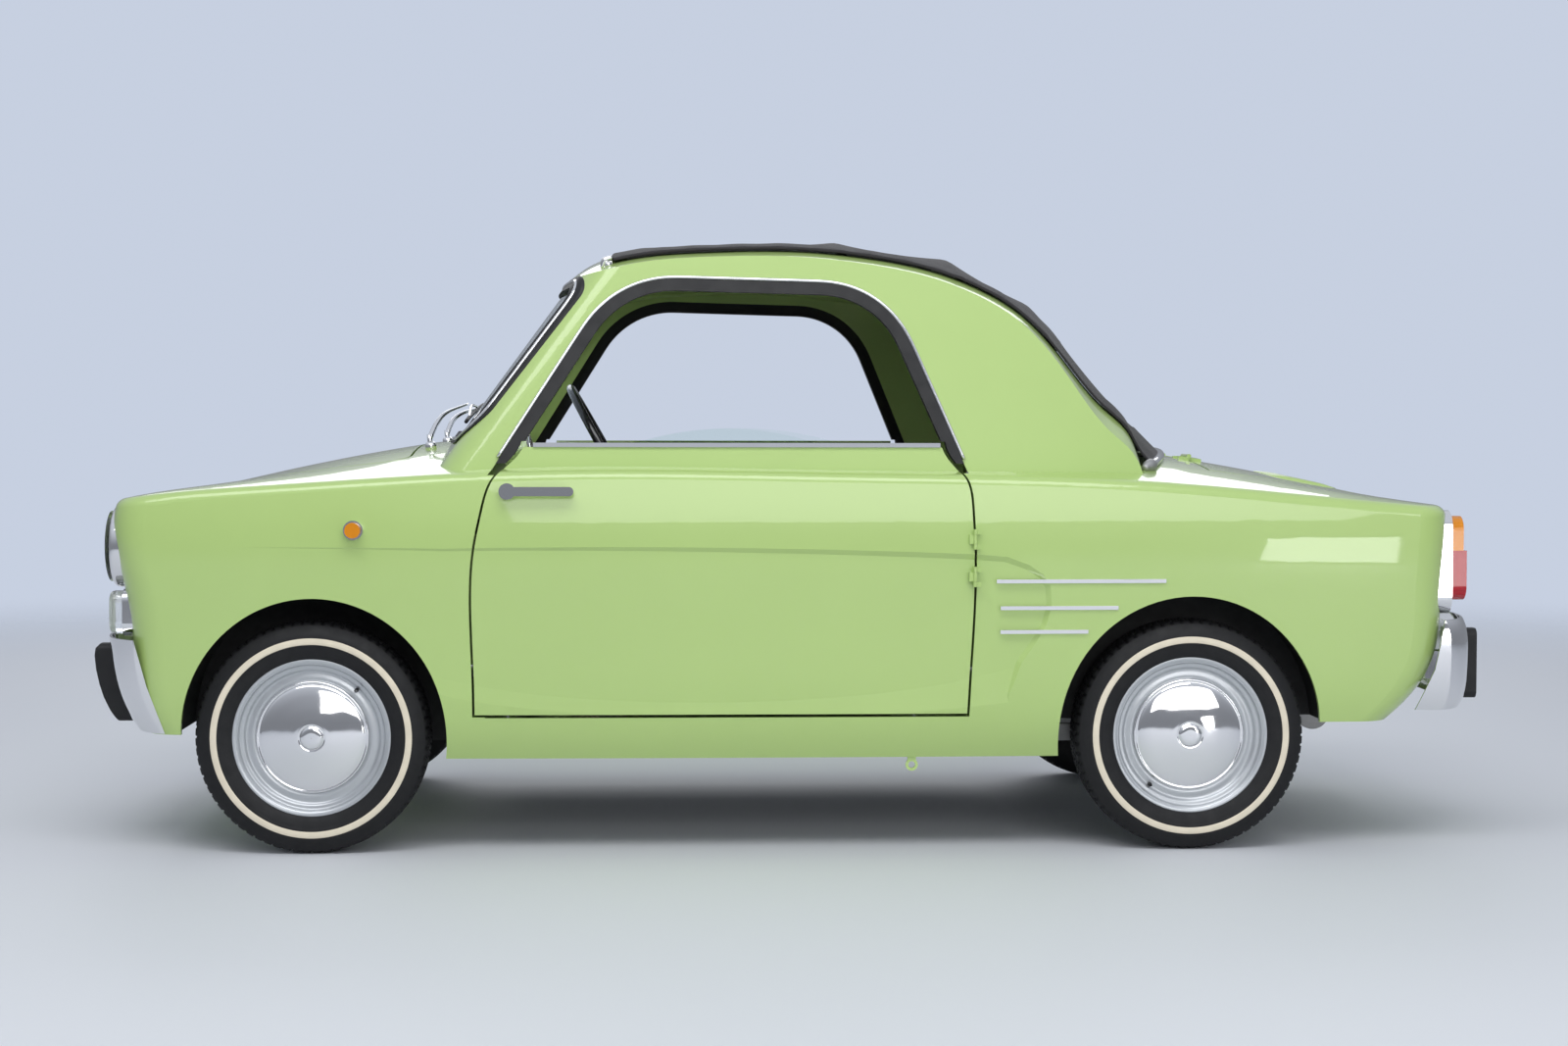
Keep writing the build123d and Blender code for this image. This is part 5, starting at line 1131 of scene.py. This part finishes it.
def area_light(name, place, target, size, power):
    """A rectangular lamp that looks at a target."""
    data = bpy.data.lights.new(name, "AREA")
    data.shape = "RECTANGLE"
    data.size, data.size_y = size
    data.energy = power
    o = placed(name, data)
    o.location = place
    o.rotation_euler = (Vector(target) - Vector(place)).to_track_quat("-Z", "Y").to_euler()


area_light("key", (0.5, 3.2, 4.6), (0, 0.2, 0.5), (5.0, 2.2), 125)
area_light("side", (-1.6, 7.5, 2.6), (-0.3, 0, 0.6), (6.0, 2.5), 125)
area_light("back", (0.0, -5.0, 3.5), (0, 0, 0.8), (6.0, 2.5), 80)
area_light("low", (-2.52, 4.6, 0.31), (-1.1, 0.64, 0.6), (0.56, 0.54), 6)

# the eye and clear pieces see a plain sky, bright metal mirrors one that climbs, the rest gets soft light
world = bpy.context.scene.world or bpy.data.worlds.new("world")
bpy.context.scene.world = world
world.use_nodes = True
sky = world.node_tree
soft = given(sky.nodes["Background"], Color=(0.8, 0.86, 0.97, 1), Strength=0.45)
direction = node(sky, "TexCoord")
split = node(sky, "SeparateXYZ")
link(sky, direction.outputs["Generated"], split.inputs["Vector"])
climb = node(sky, "MapRange", From_Min=0.0, From_Max=0.75, To_Min=0.28, To_Max=0.75)
climb.interpolation_type = "SMOOTHSTEP"
link(sky, split.outputs["Z"], climb.inputs["Value"])
mirrored = node(sky, "Background", Color=(0.85, 0.9, 1.0, 1))
link(sky, climb.outputs["Result"], mirrored.inputs["Strength"])
seen = node(sky, "Background", Color=(0.57, 0.63, 0.75, 1), Strength=1.0)
rays = node(sky, "LightPath").outputs
either = node(sky, "Math")
either.operation = "MAXIMUM"
link(sky, rays["Is Camera Ray"], either.inputs[0])
link(sky, rays["Is Transmission Ray"], either.inputs[1])
shiny = mixed(sky, rays["Is Glossy Ray"], soft.outputs["Background"], mirrored.outputs["Background"])
choice = mixed(sky, either.outputs["Value"], shiny, seen.outputs["Background"])
link(sky, choice, sky.nodes["World Output"].inputs["Surface"])

CAMERA_PLACE = Vector((0.2846, 5.9727, 0.8822))
YAW, PITCH, ROLL = math.radians(-2.689), math.radians(-2.052), 0.0014
forward = Vector((math.sin(YAW) * math.cos(PITCH), -math.cos(YAW) * math.cos(PITCH), math.sin(PITCH)))
camera = placed("camera", bpy.data.cameras.new("camera"))
camera.rotation_mode = "QUATERNION"
camera.location = CAMERA_PLACE
camera.rotation_quaternion = forward.to_track_quat("-Z", "Y") @ Matrix.Rotation(ROLL, 3, "Z").to_quaternion()
camera.data.lens = 59.0
camera.data.sensor_width = 36
camera.data.clip_start, camera.data.clip_end = 0.1, 100
bpy.context.scene.camera = camera
bpy.context.scene.view_settings.view_transform = "Standard"
